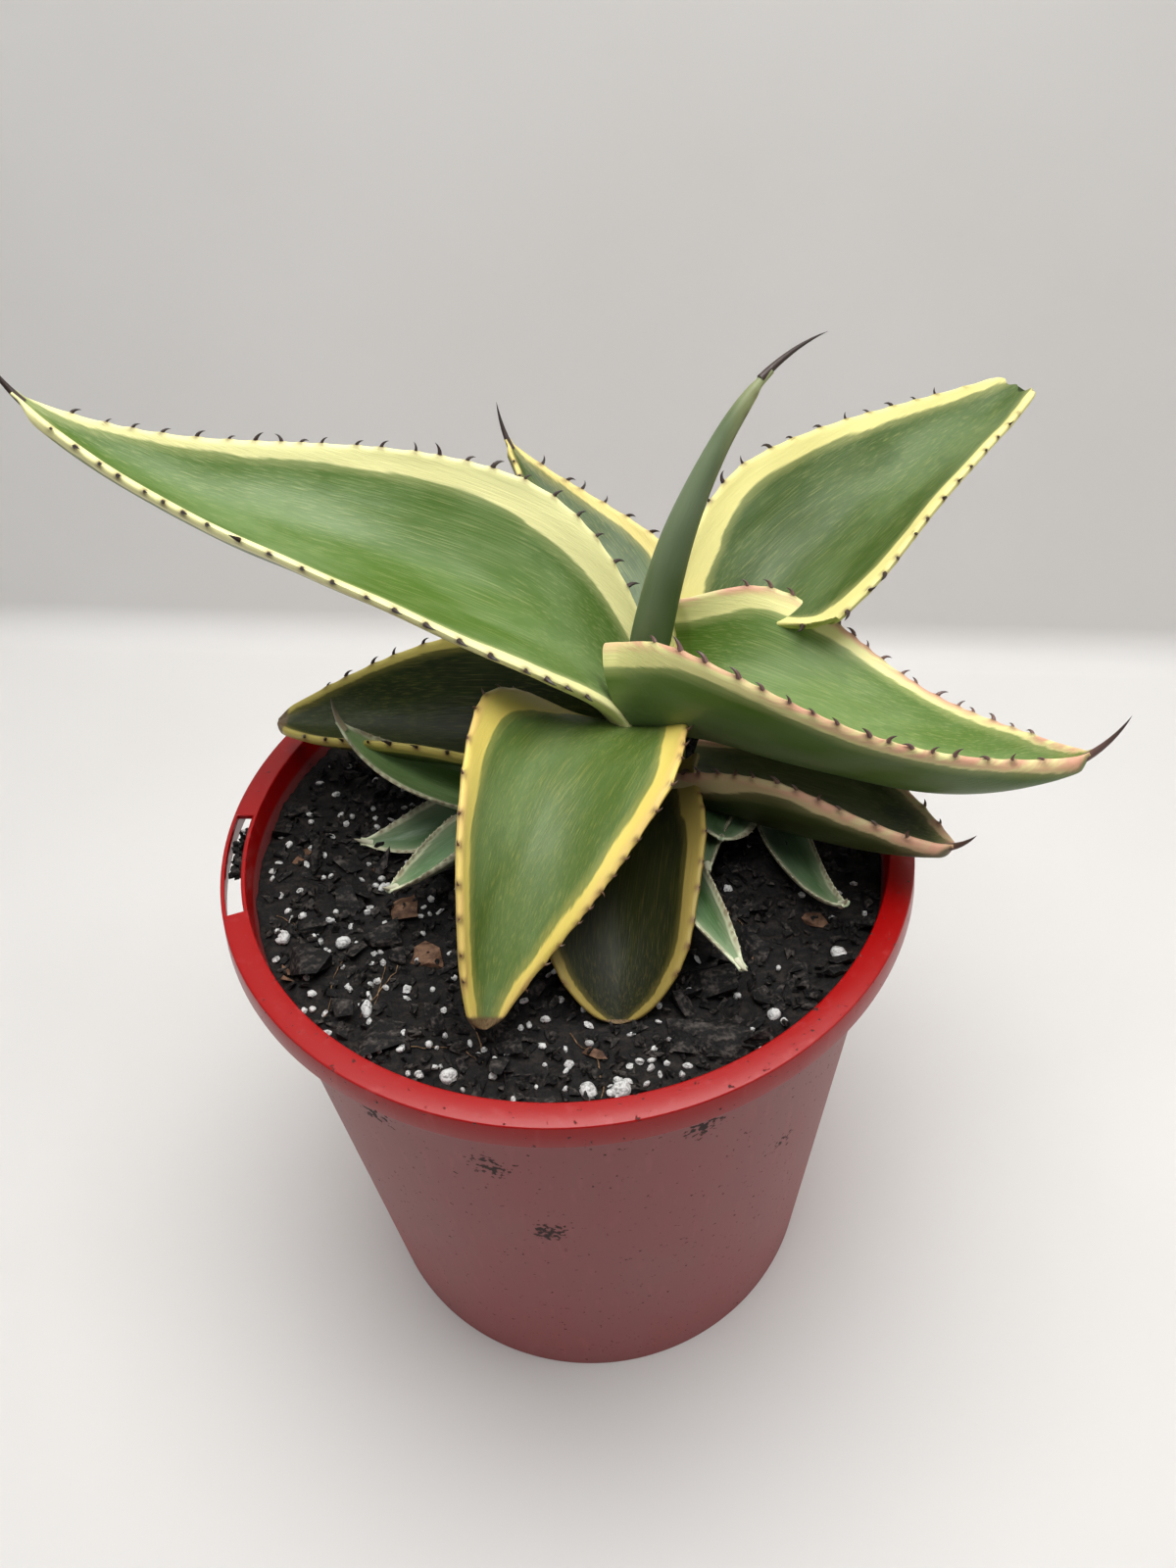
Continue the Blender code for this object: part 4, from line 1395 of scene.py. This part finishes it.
    def spines(self) -> None:
        """Builds the marginal teeth and the end spine as one piece."""
        leaf, blade = self.leaf, self.blade
        chance = random.Random(leaf.seed)
        bm = bmesh.new()
        reach = bm.verts.layers.float.new("reach")
        for side, shares in blade.spots.items():
            for share in shares:
                if leaf.blunt and share > BARE_END:
                    continue
                spot, outward, along = blade.margin(side, share)
                if not self.kept(spot):
                    continue
                size = leaf.tooth * chance.uniform(0.65, 1.15) * (1 - 0.35 * share)
                forward = along * chance.choice((-1, -1, -1, 1))
                lift = (outward + along * chance.uniform(-0.2, 0.2)).normalized()
                foot = spot + outward * TOOTH_STAND
                self.hook(bm, reach, foot, lift, forward, size, size * STOUTNESS, chance.uniform(45, 95))
        if leaf.spine:
            along, _ = blade.direction(1.0)
            tip = blade.section(1.0)
            foot = tip.centre - along * SPINE_SEAT - tip.up * tip.belly * 0.2
            self.hook(bm, reach, foot, along, tip.up, leaf.spine + SPINE_SEAT, 1.15, 26, joints=9, sides=10)
        bmesh.ops.recalc_face_normals(bm, faces=bm.faces)
        place_piece(f"{leaf.name}_spines", bm, leaf.teeth.material(f"{leaf.name} spines"), leaf.slot)

    def build(self) -> None:
        """Builds the leaf's two pieces."""
        self.skin()
        self.spines()


# Lower leaves: greens, band and underside painted darker for the shade that they lie in.
SHADED = LeafFinish(
    green=(70, 82, 36), deep=(44, 54, 20), band=(186, 174, 108), under=(62, 72, 36), bloom=0.0, rough=0.5
)
PALE_TEETH = SpineFinish(point=(176, 170, 148), foot=(206, 208, 180))
YOUNG_SKIN = LeafFinish(
    green=(88, 118, 78), deep=(58, 86, 48), band=(206, 210, 176), under=(84, 106, 80), bloom=0.12, rough=0.38
)

LEAVES = (
    Leaf(
        "leaf_heart", (22, 17, 226), (214, 214), (101, 117, 153), 99, 21, 0.20, 0.75, 1.4, (17, -2),
        (130, 130, 120), (130, 130, 120), thickness=2.6, edge=1.4, spine=21,
        left_band=(1, 0.5, 0), right_band=(1, 0.5, 0), tooth=2.8, quarter=18, rows=140, seed=2,
        finish=LeafFinish(green=(96, 112, 74), deep=(72, 88, 52), under=(96, 110, 76), bloom=0.12),
    ),
    Leaf(
        "leaf_right_upper", (35, 18, 221), (-38, -25), (24, 1, 49), 116, 83, 0.16, 0.82, 1.9, (-7, -20),
        (101, 29, 84), (106, 65, 73), spine=14, left_band=(7, 6, 2), right_band=(6, 4, 2),
        spacing=6.4, seed=3,
        finish=LeafFinish(green=(98, 124, 56), deep=(78, 106, 38), under=(96, 116, 70), blush=0.75),
        teeth=SpineFinish((46, 36, 36), (120, 90, 84)),
    ),
    Leaf(
        "leaf_left_upper", (21, 23, 224), (172, 159), (62, 16, 45), 186, 67, 0.29, 0.45, 1.5, (-16, 3),
        (38, 44, 63), (48, 59, 45), spine=12, left_band=(4.5, 4.5, 1.8), right_band=(6, 10.5, 1.5),
        rows=200, seed=4, finish=LeafFinish(green=(94, 120, 60), deep=(74, 102, 36), band=(246, 241, 172)),
    ),
    Leaf(
        "leaf_back_right", (41, 29, 217), (32, 33), (51, 15, 17), 146, 66, 0.39, 0.40, 1.3, (13, 0),
        (57, 46, 45), (14, 50, 43), blunt=0.22, tuck=(0.17, 0.27), ragged=3.0,
        left_band=(9, 9.5, 3.0), right_band=(6, 7, 2.5),
        rows=170, seed=5, finish=LeafFinish(green=(76, 98, 44), deep=(58, 80, 28), band=(236, 226, 146)),
    ),
    Leaf(
        "leaf_back_left", (27, 32, 221), (110, 122), (47, 18, 43), 93, 46, 0.37, 0.62, 1.2, (1, 16),
        (49, 52, 67), (50, 46, 56), thickness=6.0, spine=12, left_band=(1.2, 1, 0.4), right_band=(6, 7, 1.2),
        seed=6, finish=LeafFinish(green=(76, 96, 54), deep=(58, 76, 38), band=(232, 212, 128), bloom=0.16),
    ),
    Leaf(
        "leaf_front_upper", (23, 14, 219), (231, 255), (34, -16, -44), 109, 62, 0.33, 0.59, 1.3, (14, -43),
        (31, 35, 12), (-7, 63, 36), blunt=0.12, rounded=0.03, dry_end=6.0,
        left_band=(7, 6.5, 3), right_band=(17, 9, 3.0), tooth=2.3, spacing=6.4, seed=7, rows=170,
        finish=LeafFinish(
            green=(90, 112, 54), deep=(72, 94, 38), band=(228, 206, 104), blush=0.25, imprint=0.3
        ),
        teeth=SpineFinish((64, 44, 34), (104, 76, 52)),
    ),
    Leaf(
        "leaf_right_lower", (39, 14, 194), (-40, -53), (19, 13, 39), 89, 51, 0.48, 0.64, 1.4, (-12, -18),
        (53, 47, 53), (57, 74, 49), spine=8, left_band=(2.5, 2.5, 2), right_band=(5, 5, 2), seed=8,
        finish=replace(SHADED, green=(86, 96, 50), band=(206, 188, 140), blush=0.6, specks=-0.08),
        teeth=SpineFinish((44, 34, 32), (110, 84, 70)),
    ),
    Leaf(
        "leaf_left_lower", (19, 24, 205), (169, 172), (10, -2, 7), 107, 60, 0.41, 0.62, 1.7, (-16, -3),
        (23, 67, 40), (54, 48, 59), blunt=0.10, rounded=0.04, dry_end=5.0,
        left_band=(6, 5.5, 2), right_band=(4, 5, 2), seed=9,
        # darker still: painted shade, where this leaf lies under the leaves above
        finish=replace(SHADED, green=(46, 58, 20), deep=(30, 40, 10), band=(196, 180, 96), rough=0.34),
    ),
    Leaf(
        "leaf_front_lower", (27, 12, 199), (252, 264), (4, -7, -37), 82, 48, 0.44, 0.62, 2.0, (3, 2),
        (50, 51, 44), (52, 38, 52), thickness=5.0, blunt=0.62, rounded=0.26, dry_end=2.0,
        left_band=(6, 7.5, 3.0), right_band=(4, 4.5, 2.5), tooth=1.4, seed=10,
        finish=replace(SHADED, green=(42, 46, 10), deep=(26, 30, 6), band=(150, 132, 70), specks=-0.02),
    ),
)

YOUNG = Leaf(
    "leaf_young", (0, 0, 190), (0, 0), (20, 10, 10), 50, 20, 0.36, 0.7, 1.8, (0, 0), (60, 70, 55), (60, 60, 60),
    thickness=2.4, edge=1.0, spine=3, left_band=(2.2, 2.2, 1), right_band=(2.2, 2.2, 1), spacing=2.4, tooth=1.0,
    finish=YOUNG_SKIN, teeth=PALE_TEETH, slot=Slot.YOUNG, quarter=12, rows=70,
)

YOUNG_LEAVES = (
    replace(
        YOUNG, name="offset_left_leaf_1", root=(-12, 5.5, 193.5), heading=(171, 156), rise=(26, 24, 68), length=63,
        width=24, widest=0.33, taper=1.6, roll=(5, -2), left_cup=(65, 50, 43), right_cup=(63, 40, 55), spine=9,
        seed=21, finish=replace(YOUNG_SKIN, green=(104, 136, 72), deep=(78, 112, 44)),
        teeth=SpineFinish((52, 44, 38), (170, 160, 130)),
    ),
    replace(
        YOUNG, name="offset_left_leaf_2", root=(-13, 10, 189), heading=(228, 231), rise=(28, 14, 29), length=58,
        width=19, taper=1.7, roll=(5, 2), left_cup=(61, 87, 51), right_cup=(60, 77, 59), seed=22,
    ),
    replace(
        YOUNG, name="offset_left_leaf_3", root=(-13, 14, 189), heading=(193, 192), rise=(19, -8, 28), length=50,
        width=19, taper=1.9, roll=(-1, -25), left_cup=(62, 42, 39), right_cup=(60, 52, 60), seed=23,
    ),
    replace(
        YOUNG, name="offset_front_leaf_1", root=(26, 9, 188), heading=(-83, -74), rise=(7, 16, 12), length=80,
        width=17, neck=0.76, taper=2.0, roll=(6, 2), left_cup=(58, 81, 43), right_cup=(62, 53, 64), seed=24,
        left_band=(3, 3, 1), right_band=(3.2, 3, 1),
    ),
    replace(
        YOUNG, name="offset_front_leaf_2", root=(24, 4, 191), heading=(240, 248), rise=(24, -1, 28), length=45,
        width=19, widest=0.41, neck=0.66, roll=(13, -11), left_cup=(79, 60, 47), right_cup=(60, 60, 60), seed=25,
    ),
    replace(
        YOUNG, name="offset_right_leaf_1", root=(55, 20, 196), heading=(-111, -102), rise=(10, 0, 48), length=42,
        width=21, widest=0.39, taper=3.0, roll=(3, -9), left_cup=(63, 34, 5), right_cup=(62, 26, 19),
        spine=1, seed=26,
    ),
    replace(
        YOUNG, name="offset_right_leaf_2", root=(59, 10, 188), heading=(-79, -75), rise=(10, 7, 50), length=61,
        width=17, neck=0.61, taper=1.3, roll=(-2, 12), left_cup=(62, 78, 64), right_cup=(70, 65, 59), seed=27,
    ),
    replace(
        YOUNG, name="offset_right_leaf_3", root=(53, 17, 188), heading=(-116, -101), rise=(19, 10, 7), length=46,
        width=16, widest=0.34, taper=1.5, roll=(1, 14), left_cup=(49, 61, 68), right_cup=(50, 56, 56), seed=28,
    ),
)


class Stems:
    """The stems, which keep their CAD shape under a fibrous skin."""

    def build(self) -> None:
        """Dresses each stem."""
        shade = STEM_FINISH.material("stem skin")
        for name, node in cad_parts.items():
            if name.startswith("stem"):
                for place in node.material_slots:
                    place.material = shade
                log.info("%s: dressed", name)


@dataclass(frozen=True)
class StandFinish:
    """A pale matt card that is see-through from behind, so that it hides nothing."""

    dull: Colour = (214, 212, 209)
    bright: Colour = (224, 223, 221)

    def material(self, name: str) -> bpy.types.Material:
        """Makes the stand's material.

        Args:
            name: the material's name.

        Returns:
            The material.
        """
        made, nodes, surface = new_material(name)
        place = nodes.place()
        cloud = nodes.noise(place, 5.0, 3.0)
        colour = nodes.mix(cloud, linear(self.dull), linear(self.bright))
        finish_surface(nodes, surface, colour, nodes.plus(cloud, 0.2), nodes.noise(place, 400.0), 0.02)
        clear = nodes.add("ShaderNodeBsdfTransparent")
        behind = nodes.add("ShaderNodeNewGeometry").outputs["Backfacing"]
        seen = nodes.add("ShaderNodeMixShader", {0: behind, 1: surface.outputs[0], 2: clear.outputs[0]})
        nodes.tree.links.new(seen.outputs[0], made.node_tree.nodes["Material Output"].inputs["Surface"])
        return made


@dataclass
class Studio:
    """The pale floor and back wall, the soft lights and the camera. Its lengths are metres."""

    eye: Triple = (0.0, -0.2414, 0.4434)
    heading: float = 1.75
    dip: float = 44.03
    tilt: float = -3.69
    lens: float = 27.0
    wall_y: float = 0.343
    wall_turn: float = -10.2
    wall_height: float = 1.6
    reach: float = 2.0  # half the floor's side
    cove: float = 0.02  # radius of the curve where the floor meets the wall

    def stand(self) -> None:
        """Builds the floor and the wall behind, joined by a tight curve."""
        bm = bmesh.new()
        bmesh.ops.create_grid(bm, x_segments=4, y_segments=4, size=self.reach)
        bmesh.ops.translate(bm, vec=(0, self.wall_y - self.reach, 0), verts=bm.verts)
        back = [e for e in bm.edges if all(v.co.y > self.wall_y - 1e-4 for v in e.verts)]
        raised = bmesh.ops.extrude_edge_only(bm, edges=back)["geom"]
        top = [g for g in raised if isinstance(g, bmesh.types.BMVert)]
        bmesh.ops.translate(bm, vec=(0, 0, self.wall_height), verts=top)
        corner = [e for e in bm.edges if e.calc_face_angle(0) > 0.5]
        turn = Matrix.Rotation(math.radians(self.wall_turn), 3, "Z")
        bmesh.ops.rotate(bm, verts=bm.verts, cent=(0, 0, 0), matrix=turn)
        bmesh.ops.bevel(bm, geom=corner, offset=self.cove, affect="EDGES", segments=6, profile=0.5, material=-1)
        bmesh.ops.recalc_face_normals(bm, faces=bm.faces)
        bm.normal_update()
        if min(bm.faces, key=lambda face: face.calc_center_median().z).normal.z < 0:
            bmesh.ops.reverse_faces(bm, faces=bm.faces)
        mesh = bpy.data.meshes.new("stand")
        bm.to_mesh(mesh)
        bm.free()
        mesh.shade_smooth()
        mesh.materials.append(StandFinish().material("pale stand"))
        stand = bpy.data.objects.new("stand", mesh)
        bpy.context.scene.collection.objects.link(stand)

    def light(self, name: str, place: Triple, size: float, power: float, colour: Triple) -> None:
        """Hangs a soft square light that faces the plant.

        Args:
            name: the light's name.
            place: where it hangs, in metres.
            size: its side.
            power: its power in watts.
            colour: its linear colour.
        """
        lamp = bpy.data.lights.new(name, "AREA")
        lamp.size, lamp.energy, lamp.color = size, power, colour
        holder = bpy.data.objects.new(name, lamp)
        holder.location = place
        holder.rotation_mode = "QUATERNION"
        holder.rotation_quaternion = (Vector((0, 0, 0.2)) - Vector(place)).to_track_quat("-Z", "Y")
        bpy.context.scene.collection.objects.link(holder)

    def camera(self) -> None:
        """Sets up the camera."""
        level, dip, tilt = (math.radians(angle) for angle in (self.heading, self.dip, self.tilt))
        ahead = Vector((math.sin(level) * math.cos(dip), math.cos(level) * math.cos(dip), -math.sin(dip)))
        right = ahead.cross(UP).normalized()
        up = right.cross(ahead)
        turned_right = right * math.cos(tilt) + up * math.sin(tilt)
        turned_up = up * math.cos(tilt) - right * math.sin(tilt)
        data = bpy.data.cameras.new("camera")
        data.sensor_width, data.lens, data.clip_start = 36.0, self.lens, 0.01
        holder = bpy.data.objects.new("camera", data)
        axes = Matrix((turned_right, turned_up, -ahead)).transposed()
        holder.matrix_world = Matrix.Translation(self.eye) @ axes.to_4x4()
        bpy.context.scene.collection.objects.link(holder)
        bpy.context.scene.camera = holder

    def build(self) -> None:
        """Sets the whole scene round the object."""
        self.stand()
        self.camera()
        world = bpy.data.worlds.new("soft room")
        world.use_nodes = True
        world.node_tree.nodes["Background"].inputs["Color"].default_value = (0.96, 0.98, 1.0, 1.0)
        world.node_tree.nodes["Background"].inputs["Strength"].default_value = 0.20
        bpy.context.scene.world = world
        bpy.context.scene.view_settings.view_transform = "Standard"
        self.light("overhead", (0.05, 0.02, 1.2), 0.8, 15.5, (1.0, 0.99, 0.98))
        self.light("left fill", (-1.1, -0.5, 0.8), 0.8, 1.2, (0.97, 0.98, 1.0))
        self.light("right fill", (1.1, -0.4, 0.9), 0.8, 2.2, (1.0, 0.99, 0.97))


def main() -> None:
    """Builds every piece in order."""
    logging.basicConfig(level=logging.INFO, format="%(name)s: %(message)s")
    Studio().build()
    pot = Pot()
    pot.build()
    PottingMix(pot).build()
    Stems().build()
    for leaf in LEAVES + YOUNG_LEAVES:
        LeafMaker(leaf).build()


if __name__ == "__main__":
    main()
